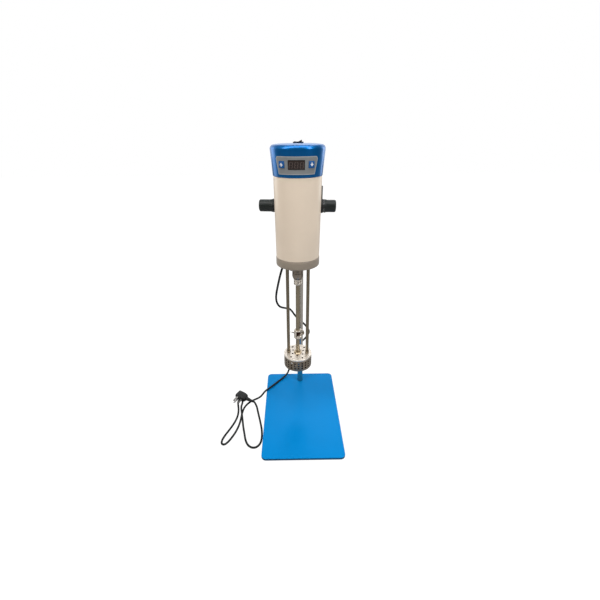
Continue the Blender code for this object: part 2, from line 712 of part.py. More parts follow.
base_plate = prism("base_plate", rounded_rectangle(PLATE_WIDTH, PLATE_DEPTH, PLATE_CORNER),
                   PLATE_BOTTOM_Z, PLATE_TOP_Z, PAINT_BLUE)
rounded(base_plate, PLATE_EDGE, angle=math.radians(60))
plate_holes = many_cutting_rods(
    "plate_foot_holes", FOOT_STEM_RADIUS + TOUCH_GAP,
    [((x, y, PLATE_BOTTOM_Z - OVERRUN),
      (x, y, PLATE_BOTTOM_Z + FOOT_STEM_REACH + TOUCH_GAP)) for x, y in foot_places])
bolt_hole = cutting_rod("plate_bolt_hole", COLUMN_BOLT_RADIUS + TOUCH_GAP,
                        (0.0, COLUMN_Y, PLATE_BOTTOM_Z - OVERRUN),
                        (0.0, COLUMN_Y, PLATE_TOP_Z + OVERRUN))
counterbore = cutting_rod("plate_counterbore", COLUMN_BOLT_HEAD + TOUCH_GAP,
                          (0.0, COLUMN_Y, PLATE_BOTTOM_Z - OVERRUN),
                          (0.0, COLUMN_Y, PLATE_BOTTOM_Z + COUNTERBORE_DEPTH), steps=22)
cut(base_plate, plate_holes, bolt_hole, counterbore)

for number, (x, y) in enumerate(foot_places, start=1):
    turned(f"foot_{number}", [
        (0.0, PLATE_BOTTOM_Z + FOOT_STEM_REACH), (FOOT_STEM_RADIUS, PLATE_BOTTOM_Z
                                                  + FOOT_STEM_REACH),
        (FOOT_STEM_RADIUS, FOOT_HEIGHT), (FOOT_WAIST, FOOT_HEIGHT), (FOOT_RADIUS, 0.0),
        (FOOT_RECESS_RADIUS, 0.0), (FOOT_RECESS_RADIUS * FOOT_RECESS_TOP_SHARE, FOOT_RECESS_DEPTH),
        (0.0, FOOT_RECESS_DEPTH)], RUBBER, place=(x, y, 0.0), steps=22)

column_low = PLATE_TOP_Z + TOUCH_GAP
column_high = up(COLUMN_HEIGHT)
bolt_bore = COLUMN_BOLT_RADIUS + TOUCH_GAP
stem_bore = CAP_PLUG_STEM_RADIUS + TOUCH_GAP
turned("column", [
    (0.0, column_high - CAP_PLUG_STEM_LENGTH - TOUCH_GAP),
    (stem_bore, column_high - CAP_PLUG_STEM_LENGTH - TOUCH_GAP),
    (stem_bore, column_high), (COLUMN_RADIUS - COLUMN_CHAMFER, column_high),
    (COLUMN_RADIUS, column_high - COLUMN_CHAMFER), (COLUMN_RADIUS, column_low),
    (bolt_bore, column_low), (bolt_bore, column_low + COLUMN_BOLT_DEPTH),
    (0.0, column_low + COLUMN_BOLT_DEPTH)], STEEL, place=(0.0, COLUMN_Y, 0.0))
socket_screw("column_bolt", COLUMN_BOLT_RADIUS, COLUMN_BOLT_HEAD, COLUMN_BOLT_HEAD_HEIGHT,
             column_low + COLUMN_BOLT_DEPTH - COLUMN_BOLT_SHORT - PLATE_BOTTOM_Z
             - COUNTERBORE_DEPTH + TOUCH_GAP, STEEL_DARK,
             place=(0.0, COLUMN_Y, PLATE_BOTTOM_Z + COUNTERBORE_DEPTH - TOUCH_GAP), steps=22)
turned("column_cap", [
    (0.0, column_high + CAP_PLUG_HEIGHT),
    (COLUMN_RADIUS * CAP_PLUG_DOME_SHARES[0],
     column_high + CAP_PLUG_HEIGHT * CAP_PLUG_DOME_SHARES[1]),
    (COLUMN_RADIUS, column_high + CAP_PLUG_HEIGHT * CAP_PLUG_DOME_SHARES[2]),
    (COLUMN_RADIUS, column_high + TOUCH_GAP), (CAP_PLUG_STEM_RADIUS, column_high + TOUCH_GAP),
    (CAP_PLUG_STEM_RADIUS, column_high - CAP_PLUG_STEM_LENGTH),
    (0.0, column_high - CAP_PLUG_STEM_LENGTH)], BLACK_PLASTIC, place=(0.0, COLUMN_Y, 0.0))

stop_high = up(BRACKET_LOW) - TOUCH_GAP
stop_middle = stop_high - STOP_HEIGHT / 2
stop_ring = turned("stop_ring", ring_profile(STOP_RADIUS, COLUMN_RADIUS + TOUCH_GAP,
                                             stop_high - STOP_HEIGHT, stop_high, STOP_ROUND),
                   STEEL_DARK, place=(0.0, COLUMN_Y, 0.0), ring=True)
stop_hole = cutting_rod("stop_screw_hole", STOP_SCREW_RADIUS + TOUCH_GAP,
                        (0.0, COLUMN_Y + COLUMN_RADIUS / 2, stop_middle),
                        (0.0, COLUMN_Y + STOP_RADIUS + OVERRUN, stop_middle))
cut(stop_ring, stop_hole)
turned("stop_screw", [
    (0.0, STOP_RADIUS + TOUCH_GAP + STOP_SCREW_HEAD_LENGTH),
    (STOP_SCREW_HEAD - STOP_ROUND, STOP_RADIUS + TOUCH_GAP + STOP_SCREW_HEAD_LENGTH),
    (STOP_SCREW_HEAD, STOP_RADIUS + TOUCH_GAP + STOP_SCREW_HEAD_LENGTH - STOP_ROUND),
    (STOP_SCREW_HEAD, STOP_RADIUS + TOUCH_GAP), (STOP_SCREW_RADIUS, STOP_RADIUS + TOUCH_GAP),
    (STOP_SCREW_RADIUS, COLUMN_RADIUS + TOUCH_GAP), (0.0, COLUMN_RADIUS + TOUCH_GAP)],
    BLACK_PLASTIC, place=(0.0, COLUMN_Y, stop_middle), steps=20, spin_axis="Y")


# Bracket: a saddle behind the housing, a neck, and a split clamp on the column

low = up(BRACKET_LOW)
high = up(BRACKET_HIGH)
middle = (low + high) / 2
tall = high - low
bracket = turned("bracket", disc_profile(SADDLE_RADIUS, low, high, BRACKET_ROUND),
                 BLACK_PLASTIC, head, steps=40)
saddle_front = box("saddle_front_cut",
                   (4 * SADDLE_RADIUS, 2 * SADDLE_RADIUS, tall + 2 * OVERRUN),
                   (0.0, SADDLE_FRONT - SADDLE_RADIUS, middle), None, head)
neck = box("bracket_neck", (2 * NECK_HALF_WIDTH, HEAD_REACH - SADDLE_BORE,
                            tall - 2 * NECK_INSET),
           (0.0, (HEAD_REACH + SADDLE_BORE) / 2, middle), None, head)
rounded(neck, BRACKET_ROUND)
clamp = turned("bracket_clamp", disc_profile(CLAMP_RADIUS, low, high, BRACKET_ROUND), None,
               head, (0.0, HEAD_REACH, 0.0))
ears = box("bracket_ears", (2 * EAR_HALF_WIDTH, EAR_DEPTH, tall - 2 * NECK_INSET),
           (0.0, HEAD_REACH + EAR_DEPTH / 2, middle), None, head)
rounded(ears, BRACKET_ROUND)
join(bracket, neck, clamp, ears)
for side, word in ((-1, "left"), (1, "right")):
    boss = turned(f"bracket_boss_{word}", [
        (0.0, KNOB_START - TOUCH_GAP), (KNOB_BOSS_RADIUS, KNOB_START - TOUCH_GAP),
        (KNOB_BOSS_RADIUS + KNOB_BOSS_FLARE * KNOB_BOSS_SHARE, KNOB_START - TOUCH_GAP
         - KNOB_BOSS_FLARE), (KNOB_BOSS_RADIUS + KNOB_BOSS_FLARE, SADDLE_BORE - CLAMP_RADIUS),
        (0.0, SADDLE_BORE - CLAMP_RADIUS)], None, head, (0.0, KNOB_Y, up(KNOB_Z)), steps=20,
        spin_axis="X" if side > 0 else "-X")
    join(bracket, boss)
boss_low = up(KNOB_Z) - KNOB_BOSS_RADIUS - KNOB_BOSS_FLARE
housing_bore = cutting_rod("bracket_housing_bore", SADDLE_BORE,
                           (0.0, 0.0, min(low, boss_low) - OVERRUN),
                           (0.0, 0.0, high + OVERRUN), head, steps=40)
column_bore = cutting_rod("bracket_column_bore", COLUMN_RADIUS + TOUCH_GAP,
                          (0.0, HEAD_REACH, low - OVERRUN),
                          (0.0, HEAD_REACH, high + OVERRUN), head, steps=40)
slit = box("bracket_slit", (EAR_SLIT, EAR_DEPTH + COLUMN_RADIUS, tall + 2 * OVERRUN),
           (0.0, HEAD_REACH + (EAR_DEPTH + COLUMN_RADIUS / 2) / 2, middle), None, head)
stud_bores = many_cutting_rods(
    "bracket_stud_bores", STUD_RADIUS + TOUCH_GAP,
    [((side * HOUSING_INNER_RADIUS / 2, KNOB_Y, up(KNOB_Z)),
      (side * (KNOB_START + OVERRUN), KNOB_Y, up(KNOB_Z))) for side in (-1, 1)], head, 16)
ear_screw_y = HEAD_REACH + CLAMP_SCREW_Y
screw_levels = [middle - CLAMP_SCREW_SPREAD, middle + CLAMP_SCREW_SPREAD]
ear_bores = many_cutting_rods(
    "bracket_ear_bores", CLAMP_SCREW_RADIUS + TOUCH_GAP,
    [((-EAR_HALF_WIDTH - OVERRUN, ear_screw_y, level),
      (EAR_HALF_WIDTH + OVERRUN, ear_screw_y, level)) for level in screw_levels], head, 16)
# The exact solver leaves open edges where these cross, so the bracket is cut with the other
cut(bracket, saddle_front, slit, housing_bore, column_bore, stud_bores, ear_bores,
    solver="MANIFOLD")

for level, word in zip(screw_levels, ("lower", "upper")):
    socket_screw(f"clamp_screw_{word}", CLAMP_SCREW_RADIUS, CLAMP_SCREW_HEAD,
                 CLAMP_SCREW_HEAD_HEIGHT, 2 * EAR_HALF_WIDTH, STEEL_DARK, head,
                 (-EAR_HALF_WIDTH - TOUCH_GAP, ear_screw_y, level), spin_axis="X")

skirt_flare = KNOB_SKIRT_RADIUS - KNOB_RADIUS
for side, word, length in zip((-1, 1), ("left", "right"), KNOB_LENGTHS):
    axis = "X" if side > 0 else "-X"
    knob_end = KNOB_START + length
    turned(f"knob_{word}", [
        (0.0, knob_end), (KNOB_RADIUS - KNOB_ROUND, knob_end),
        (KNOB_RADIUS - KNOB_ROUND * KNOB_CORNER_SHARE,
         knob_end - KNOB_ROUND * KNOB_CORNER_SHARE),
        (KNOB_RADIUS, knob_end - KNOB_ROUND), (KNOB_RADIUS, KNOB_START + KNOB_SKIRT_LENGTH),
        (KNOB_RADIUS + skirt_flare * KNOB_SKIRT_SHARES[1],
         KNOB_START + KNOB_SKIRT_LENGTH * KNOB_SKIRT_SHARES[0]),
        (KNOB_SKIRT_RADIUS, KNOB_START),
        (STUD_RADIUS + TOUCH_GAP, KNOB_START),
        (STUD_RADIUS + TOUCH_GAP, KNOB_START + STUD_INTO_KNOB + TOUCH_GAP),
        (0.0, KNOB_START + STUD_INTO_KNOB + TOUCH_GAP)], BLACK_PLASTIC, head,
        (0.0, KNOB_Y, up(KNOB_Z)), spin_axis=axis)
    turned(f"stud_{word}", disc_profile(STUD_RADIUS, STUD_INNER, KNOB_START + STUD_INTO_KNOB),
           STEEL_DARK, head, (0.0, KNOB_Y, up(KNOB_Z)), steps=20, spin_axis=axis)


# Motor housing and what is inside it

housing_low = up(HOUSING_BOTTOM) + TOUCH_GAP
housing_high = up(CAP_BOTTOM) - TOUCH_GAP
housing = turned("motor_housing", [
    (HOUSING_INNER_RADIUS, housing_high), (HOUSING_HIGH_RADIUS, housing_high),
    (HOUSING_LOW_RADIUS, housing_low), (HOUSING_INNER_RADIUS, housing_low)],
    PAINT_CREAM, head, steps=40, ring=True)
vents = []
for number in range(VENT_COUNT):
    angle = math.radians(90) + (number - (VENT_COUNT - 1) / 2) * VENT_STEP
    out = Vector((math.cos(angle), math.sin(angle), 0.0))
    vent = prism(f"vent_{number}", rounded_rectangle(VENT_WIDTH, VENT_HEIGHT,
                                                     VENT_WIDTH / 2 * VENT_ROUND_SHARE, 2),
                 HOUSING_INNER_RADIUS - OVERRUN, HOUSING_HIGH_RADIUS + OVERRUN, None, head)
    turn = Matrix.Rotation(angle + math.radians(90), 4, "Z") @ Matrix.Rotation(
        math.radians(90), 4, "X")
    vent.data.transform(turn)
    vent.location = (0.0, 0.0, up(VENT_MIDDLE))
    vents.append(vent)
housing_studs = many_cutting_rods(
    "housing_stud_bores", STUD_RADIUS + TOUCH_GAP,
    [((side * STUD_INNER * STUD_BORE_SHARE, KNOB_Y, up(KNOB_Z)),
      (side * KNOB_START, KNOB_Y, up(KNOB_Z))) for side in (-1, 1)], head, 16)
cut(housing, *vents, housing_studs)

core_radius = HOUSING_INNER_RADIUS - TOUCH_GAP
core = turned("motor_core", ring_profile(core_radius, CORE_BORE, up(CORE_LOW), up(CORE_HIGH)),
              STEEL_DARK, head, ring=True)
core_clear = many_cutting_rods(
    "core_stud_room", STUD_RADIUS + 2 * RUN_GAP,
    [((side * (STUD_INNER - OVERRUN), KNOB_Y, up(KNOB_Z)),
      (side * KNOB_START, KNOB_Y, up(KNOB_Z))) for side in (-1, 1)], head, 16)
cut(core, core_clear)
for word, start in (("upper", up(CORE_HIGH) + TOUCH_GAP),
                    ("lower", up(CORE_LOW) - TOUCH_GAP - COIL_HEIGHT)):
    turned(f"coil_{word}", ring_profile(core_radius - COIL_INSET, CORE_BORE + COIL_INSET,
                                        start, start + COIL_HEIGHT, COIL_ROUND),
           COPPER, head, steps=20, ring=True)
shaft_bore = MOTOR_SHAFT_RADIUS + TOUCH_GAP
turned("motor_shaft", disc_profile(MOTOR_SHAFT_RADIUS, up(MOTOR_SHAFT_LOW_END),
                                   up(MOTOR_SHAFT_TOP), ROD_CHAMFER), STEEL, head, steps=22)
turned("armature", ring_profile(ARMATURE_RADIUS, shaft_bore, up(CORE_LOW), up(CORE_HIGH)),
       STEEL_DARK, head, ring=True)
fan = prism("fan", blade_star(FAN_HUB, FAN_TIP, FAN_BLADE, FAN_BLADES, FAN_SWEEP),
            up(FAN_BOTTOM), up(FAN_BOTTOM) + FAN_HEIGHT, BLACK_PLASTIC, head)
cut(fan, cutting_rod("fan_bore", shaft_bore, (0.0, 0.0, up(FAN_BOTTOM) - OVERRUN),
                     (0.0, 0.0, up(FAN_BOTTOM) + FAN_HEIGHT + OVERRUN), head))
bell = turned("end_bell", ring_profile(core_radius, BEARING_RADIUS + TOUCH_GAP,
                                       up(BELL_BOTTOM), up(BELL_BOTTOM) + BELL_HEIGHT),
              STEEL_DARK, head, ring=True)
cut(bell, many_cutting_rods("bell_holes", BELL_HOLE_RADIUS, [
    ((BELL_HOLE_PITCH_RADIUS * math.cos(math.tau * index / BELL_HOLES),
      BELL_HOLE_PITCH_RADIUS * math.sin(math.tau * index / BELL_HOLES),
      up(BELL_BOTTOM) - OVERRUN),
     (BELL_HOLE_PITCH_RADIUS * math.cos(math.tau * index / BELL_HOLES),
      BELL_HOLE_PITCH_RADIUS * math.sin(math.tau * index / BELL_HOLES),
      up(BELL_BOTTOM) + BELL_HEIGHT + OVERRUN)) for index in range(BELL_HOLES)], head, 16))
turned("bearing_upper", ring_profile(BEARING_RADIUS, shaft_bore, up(BELL_BOTTOM),
                                     up(BELL_BOTTOM) + BEARING_HEIGHT),
       STEEL, head, steps=20, ring=True)

collar_low = up(COLLAR_BOTTOM)
floor = collar_low + COLLAR_FLOOR
collar = turned("end_collar", [
    (COLLAR_RADIUS - COLLAR_WALL, up(HOUSING_BOTTOM)), (COLLAR_RADIUS, up(HOUSING_BOTTOM)),
    (COLLAR_RADIUS, collar_low + COLLAR_FILLET),
    (COLLAR_RADIUS - COLLAR_FILLET * COLLAR_FILLET_SHARE,
     collar_low + COLLAR_FILLET * COLLAR_FILLET_SHARE),
    (COLLAR_RADIUS - COLLAR_FILLET, collar_low),
    (shaft_bore + RUN_GAP, collar_low), (shaft_bore + RUN_GAP, collar_low + BEARING_LEDGE),
    (BEARING_RADIUS + TOUCH_GAP, collar_low + BEARING_LEDGE),
    (BEARING_RADIUS + TOUCH_GAP, floor), (COLLAR_RADIUS - COLLAR_WALL, floor)],
    PAINT_GREY, head, steps=40, ring=True)
bearing_low = collar_low + BEARING_LEDGE + TOUCH_GAP
turned("bearing_lower", ring_profile(BEARING_RADIUS, shaft_bore, bearing_low,
                                     bearing_low + BEARING_HEIGHT),
       STEEL, head, steps=20, ring=True)
rod_bores = many_cutting_rods(
    "collar_rod_bores", ROD_RADIUS + TOUCH_GAP,
    [((side * ROD_OFFSET, 0.0, collar_low - OVERRUN),
      (side * ROD_OFFSET, 0.0, floor + OVERRUN)) for side in (-1, 1)], head, 24)
gland_bore = cutting_rod("collar_gland_bore", GLAND_STEM_RADIUS + TOUCH_GAP,
                         (GLAND_X, GLAND_Y, collar_low - OVERRUN),
                         (GLAND_X, GLAND_Y, floor + OVERRUN), head)
screw_spots = [(COLLAR_SCREW_PITCH_RADIUS * math.cos(math.radians(angle)),
                COLLAR_SCREW_PITCH_RADIUS * math.sin(math.radians(angle)))
               for angle in COLLAR_SCREW_ANGLES]
collar_screw_bores = many_cutting_rods(
    "collar_screw_bores", COLLAR_SCREW_RADIUS + TOUCH_GAP,
    [((x, y, collar_low - OVERRUN), (x, y, collar_low + COLLAR_SCREW_LENGTH + TOUCH_GAP))
     for x, y in screw_spots], head, 16)
cut(collar, rod_bores, gland_bore, collar_screw_bores)
for number, (x, y) in enumerate(screw_spots, start=1):
    socket_screw(f"collar_screw_{number}", COLLAR_SCREW_RADIUS, COLLAR_SCREW_HEAD,
                 COLLAR_SCREW_HEAD_HEIGHT, COLLAR_SCREW_LENGTH, STEEL_DARK, head,
                 (x, y, collar_low - TOUCH_GAP), steps=16)


# Rods, nose and shaft

stator_top = up(STATOR_TOP)
plate_low = stator_top - STATOR_PLATE_THICKNESS
rod_low = stator_top + TOUCH_GAP
spigot_bore = ROD_SPIGOT_RADIUS + TOUCH_GAP
for side, word in ((-1, "left"), (1, "right")):
    spot = (side * ROD_OFFSET, 0.0, 0.0)
    turned(f"rod_{word}", [
        (0.0, floor + ROD_END_ABOVE), (ROD_RADIUS - ROD_CHAMFER, floor + ROD_END_ABOVE),
        (ROD_RADIUS, floor + ROD_END_ABOVE - ROD_CHAMFER), (ROD_RADIUS, rod_low),
        (ROD_SPIGOT_RADIUS, rod_low), (ROD_SPIGOT_RADIUS, plate_low - BUSH_DROP),
        (0.0, plate_low - BUSH_DROP)], STEEL, head, spot, steps=22)
    hexagon = [(ROD_NUT_RADIUS * math.cos(math.radians(angle)),
                ROD_NUT_RADIUS * math.sin(math.radians(angle)))
               for angle in range(0, 360, 60)]
    nut_low = floor + TOUCH_GAP
    nut = prism(f"rod_nut_{word}", hexagon, nut_low, nut_low + ROD_NUT_HEIGHT, STEEL_DARK,
                head, spot)
    cut(nut, cutting_rod(f"rod_nut_bore_{word}", ROD_RADIUS + TOUCH_GAP,
                         (side * ROD_OFFSET, 0.0, nut_low - OVERRUN),
                         (side * ROD_OFFSET, 0.0, nut_low + ROD_NUT_HEIGHT + OVERRUN), head))


nose_high = collar_low - TOUCH_GAP
turned("bearing_nose", [
    (shaft_bore + RUN_GAP, nose_high), (NOSE_FLANGE_RADIUS, nose_high),
    (NOSE_FLANGE_RADIUS, nose_high - NOSE_FLANGE_HEIGHT),
    (NOSE_RADIUS, nose_high - NOSE_FLANGE_HEIGHT),
    (NOSE_RADIUS, up(NOSE_BOTTOM) + NOSE_CHAMFER),
    (NOSE_RADIUS - NOSE_CHAMFER, up(NOSE_BOTTOM)),
    (shaft_bore + RUN_GAP, up(NOSE_BOTTOM))], STEEL_DARK, head, steps=22, ring=True)

shaft_top = up(MOTOR_SHAFT_LOW_END) - TOUCH_GAP
drive_bore = SHAFT_RADIUS + TOUCH_GAP
turned("coupling", [
    (shaft_bore, up(COUPLING_TOP)), (COUPLING_RADIUS - ROD_CHAMFER, up(COUPLING_TOP)),
    (COUPLING_RADIUS, up(COUPLING_TOP) - ROD_CHAMFER),
    (COUPLING_RADIUS, up(COUPLING_TOP) - COUPLING_BAND),
    (COUPLING_RADIUS - COUPLING_GROOVE, up(COUPLING_TOP) - COUPLING_BAND),
    (COUPLING_RADIUS - COUPLING_GROOVE, up(COUPLING_BOTTOM) + COUPLING_BAND),
    (COUPLING_RADIUS, up(COUPLING_BOTTOM) + COUPLING_BAND),
    (COUPLING_RADIUS, up(COUPLING_BOTTOM) + ROD_CHAMFER),
    (COUPLING_RADIUS - ROD_CHAMFER, up(COUPLING_BOTTOM)),
    (drive_bore, up(COUPLING_BOTTOM)), (drive_bore, shaft_top), (shaft_bore, shaft_top)],
    STEEL, head, steps=20, ring=True)
rotor_bore = ROTOR_SCREW_RADIUS + TOUCH_GAP
turned("drive_shaft", [
    (0.0, shaft_top), (SHAFT_RADIUS, shaft_top), (SHAFT_RADIUS, up(SHAFT_LOW_END)),
    (rotor_bore, up(SHAFT_LOW_END)), (rotor_bore, up(SHAFT_LOW_END) + ROTOR_SCREW_DEPTH),
    (0.0, up(SHAFT_LOW_END) + ROTOR_SCREW_DEPTH)], STEEL, head, steps=22)

prop_low = up(PROPELLER_MIDDLE) - PROPELLER_HUB_HEIGHT / 2
propeller = turned("propeller", disc_profile(PROPELLER_HUB_RADIUS, prop_low,
                                             prop_low + PROPELLER_HUB_HEIGHT, ROD_CHAMFER),
                   STEEL, head, steps=22)
for number in range(PROPELLER_BLADES):
    blade = box(f"propeller_blade_{number}",
                (PROPELLER_TIP - PROPELLER_HUB_RADIUS / 2, PROPELLER_BLADE_WIDTH,
                 PROPELLER_BLADE_THICKNESS),
                ((PROPELLER_TIP + PROPELLER_HUB_RADIUS / 2) / 2, 0.0, 0.0), None, head)
    rounded(blade, PROPELLER_BLADE_THICKNESS * PROPELLER_EDGE_SHARE, 1)
    blade.data.transform(Matrix.Rotation(PROPELLER_TURN + math.tau * number
                                         / PROPELLER_BLADES, 4, "Z")
                         @ Matrix.Rotation(PROPELLER_PITCH, 4, "X"))
    blade.location = (0.0, 0.0, up(PROPELLER_MIDDLE))
    join(propeller, blade)
cut(propeller, cutting_rod("propeller_bore", drive_bore, (0.0, 0.0, prop_low - OVERRUN),
                           (0.0, 0.0, prop_low + PROPELLER_HUB_HEIGHT + OVERRUN), head, 22))


# Stator and rotor

stator_plate = turned("stator_plate", disc_profile(STATOR_RADIUS, plate_low, stator_top,
                                                   STATOR_EDGE), STEEL, head, steps=48)


def round_holes(name, radius, pitch_radius, angles, steps):
    return many_cutting_rods(name, radius, [
        ((pitch_radius * math.cos(math.radians(angle)),
          pitch_radius * math.sin(math.radians(angle)), plate_low - OVERRUN),
         (pitch_radius * math.cos(math.radians(angle)),
          pitch_radius * math.sin(math.radians(angle)), stator_top + OVERRUN))
        for angle in angles], head, steps)


# The exact solver leaves a few open edges at these many small holes
cut(stator_plate,
    cutting_rod("stator_bush_bore", BUSH_RADIUS + TOUCH_GAP, (0.0, 0.0, plate_low - OVERRUN),
                (0.0, 0.0, stator_top + OVERRUN), head, 24),
    round_holes("stator_outer_holes", OUTER_HOLE_RADIUS, OUTER_HOLE_PITCH_RADIUS,
                OUTER_HOLE_ANGLES, 14),
    round_holes("stator_inner_holes", INNER_HOLE_RADIUS, INNER_HOLE_PITCH_RADIUS,
                INNER_HOLE_ANGLES, 12),
    round_holes("stator_rod_holes", spigot_bore, ROD_OFFSET, (0, 180), 14),
    solver="MANIFOLD")

ring_high = plate_low - TOUCH_GAP
ring_inner = STATOR_RADIUS - STATOR_WALL
stator_ring = turned("stator_ring", [
    (ring_inner - STATOR_LIP_WIDTH, ring_high), (STATOR_RADIUS, ring_high),
    (STATOR_RADIUS, up(RING_BOTTOM) + STATOR_EDGE / 2),
    (STATOR_RADIUS - STATOR_EDGE / 2, up(RING_BOTTOM)), (INTAKE_RADIUS, up(RING_BOTTOM)),
    (INTAKE_RADIUS, up(RING_BOTTOM) + STATOR_FLOOR),
    (ring_inner, up(RING_BOTTOM) + STATOR_FLOOR),
    (ring_inner, ring_high - STATOR_LIP_THICKNESS),
    (ring_inner - STATOR_LIP_WIDTH, ring_high - STATOR_LIP_THICKNESS)],
    STEEL, head, steps=48, ring=True)
wall_holes = []
for row in range(WALL_HOLE_ROWS):
    level = up(RING_BOTTOM) + WALL_HOLE_FIRST + row * WALL_HOLE_PITCH
    for index in range(WALL_HOLE_COUNT):
        angle = math.tau * (index + 0.5) / WALL_HOLE_COUNT
        inner = ring_inner - OVERRUN
        outer = STATOR_RADIUS + OVERRUN
        wall_holes.append(((inner * math.cos(angle), inner * math.sin(angle), level),
                           (outer * math.cos(angle), outer * math.sin(angle), level)))
cut(stator_ring, many_cutting_rods("stator_wall_holes", WALL_HOLE_RADIUS, wall_holes, head,
                                   8))

turned("bush", [
    (SHAFT_RADIUS + TOUCH_GAP, stator_top + TOUCH_GAP + BUSH_FLANGE_HEIGHT),
    (BUSH_FLANGE_RADIUS - ROD_CHAMFER, stator_top + TOUCH_GAP + BUSH_FLANGE_HEIGHT),
    (BUSH_FLANGE_RADIUS, stator_top + TOUCH_GAP + BUSH_FLANGE_HEIGHT - ROD_CHAMFER),
    (BUSH_FLANGE_RADIUS, stator_top + TOUCH_GAP), (BUSH_RADIUS, stator_top + TOUCH_GAP),
    (BUSH_RADIUS, plate_low - BUSH_DROP), (SHAFT_RADIUS + TOUCH_GAP, plate_low - BUSH_DROP)],
    BRASS, head, steps=20, ring=True)

rotor = prism("rotor", blade_star(ROTOR_HUB, ROTOR_TIP, ROTOR_BLADE, ROTOR_BLADES,
                                  ROTOR_SWEEP), up(ROTOR_BOTTOM), up(ROTOR_TOP), STEEL, head)
cut(rotor,
    cutting_rod("rotor_bore", drive_bore, (0.0, 0.0, up(SHAFT_LOW_END) - TOUCH_GAP),
                (0.0, 0.0, up(ROTOR_TOP) + OVERRUN), head, 22),
    cutting_rod("rotor_screw_bore", rotor_bore, (0.0, 0.0, up(ROTOR_BOTTOM) - OVERRUN),
                (0.0, 0.0, up(SHAFT_LOW_END) + OVERRUN), head, 24))
socket_screw("rotor_screw", ROTOR_SCREW_RADIUS, ROTOR_SCREW_HEAD, ROTOR_SCREW_HEAD_HEIGHT,
             up(SHAFT_LOW_END) + ROTOR_SCREW_DEPTH - OVERRUN - up(ROTOR_BOTTOM), STEEL_DARK,
             head, (0.0, 0.0, up(ROTOR_BOTTOM) - TOUCH_GAP), steps=20)


# Control cap, panel, buttons and switch

cap_low = up(CAP_BOTTOM)
cap_high = up(CAP_TOP)
rim_low = cap_high - CAP_RIM
outer_rim = [(CAP_HIGH_RADIUS - CAP_RIM + CAP_RIM * math.cos(math.radians(angle)),
              rim_low + CAP_RIM * math.sin(math.radians(angle)))
             for angle in (90, 72, 54, 36, 18, 0)]
cap = turned("control_cap", [(0.0, cap_high)] + outer_rim + [
    (CAP_LOW_RADIUS, cap_low + CAP_LOW_EDGE), (CAP_LOW_RADIUS - CAP_LOW_EDGE, cap_low),
    (CAP_SPIGOT_RADIUS, cap_low), (CAP_SPIGOT_RADIUS, cap_low - CAP_SPIGOT_DEPTH),
    (CAP_SPIGOT_RADIUS - CAP_SPIGOT_WALL, cap_low - CAP_SPIGOT_DEPTH),
    (CAP_SPIGOT_RADIUS - CAP_SPIGOT_WALL, cap_low + CAP_WALL),
    (CAP_LOW_RADIUS - CAP_WALL, cap_low + 2 * CAP_WALL),
    (CAP_HIGH_RADIUS - CAP_WALL, rim_low), (CAP_HIGH_RADIUS - CAP_RIM, cap_high - CAP_WALL),
    (0.0, cap_high - CAP_WALL)], PAINT_BLUE, head, steps=40)

window_middle = (WINDOW_LOW + WINDOW_HIGH) / 2
window_tall = WINDOW_HIGH - WINDOW_LOW
turn_panel = Matrix.Rotation(PANEL_MIDDLE, 4, "Z")
window_cut = box("cap_window_cut",
                 (2 * (WINDOW_HALF_WIDTH + TOUCH_GAP), CAP_HIGH_RADIUS,
                  window_tall + 2 * TOUCH_GAP),
                 (0.0, -CAP_HIGH_RADIUS, up(window_middle)), None, head)
window_cut.data.transform(turn_panel)


def button_place(side):
    """Where a button's outer face is, and the way that it looks."""
    angle = PANEL_MIDDLE + side * BUTTON_ANGLE
    out = Vector((math.sin(angle), -math.cos(angle), 0.0))
    radius = cap_radius(BUTTON_MIDDLE) + PANEL_THICKNESS + TOUCH_GAP + BUTTON_PROUD
    return out * radius + Vector((0.0, 0.0, up(BUTTON_MIDDLE))), angle


def button_block(name, side, size, depth, ahead, look):
    """A block in line with a button; the depth runs inwards from the button's face."""
    spot, angle = button_place(side)
    block = box(name, (size, depth, size), (0.0, depth / 2 - ahead, 0.0), look, head)
    block.data.transform(Matrix.Rotation(angle, 4, "Z"))
    block.location = spot
    return block


button_cuts = [button_block(f"cap_button_cut_{side}", side, BUTTON_SIZE + 2 * TOUCH_GAP,
                            BUTTON_LENGTH * 2, OVERRUN, None) for side in (-1, 1)]
switch_width = SWITCH_WIDTH - 2 * SWITCH_FRAME
switch_depth = SWITCH_DEPTH - 2 * SWITCH_FRAME
switch_cut = box("cap_switch_cut",
                 (switch_width + 2 * TOUCH_GAP, switch_depth + 2 * TOUCH_GAP,
                  2 * CAP_WALL + 2 * OVERRUN), (0.0, SWITCH_Y, cap_high), None, head)
cut(cap, window_cut, *button_cuts, switch_cut)

panel = cap_patch("panel", PANEL_LOW, PANEL_HIGH, PANEL_HALF_LOW, PANEL_HALF_TOP, TOUCH_GAP,
                  PANEL_THICKNESS, PANEL_STEPS, MEMBRANE, head, PANEL_CLIP_SHARE,
                  PANEL_CLIP_DROP)
cut(panel, window_cut, *button_cuts)

window = cap_patch("display_window", WINDOW_LOW, WINDOW_HIGH, WINDOW_HALF, WINDOW_HALF,
                   TOUCH_GAP + PANEL_THICKNESS + WINDOW_PROUD - WINDOW_DEPTH, WINDOW_DEPTH,
                   WINDOW_STEPS, DISPLAY_DARK, head)
window_trim = box("window_trim", (2 * WINDOW_HALF_WIDTH, CAP_HIGH_RADIUS,
                                  window_tall), (0.0, -CAP_HIGH_RADIUS, up(window_middle)),
                  None, head)
window_trim.data.transform(turn_panel)
boolean(window, window_trim, "INTERSECT")

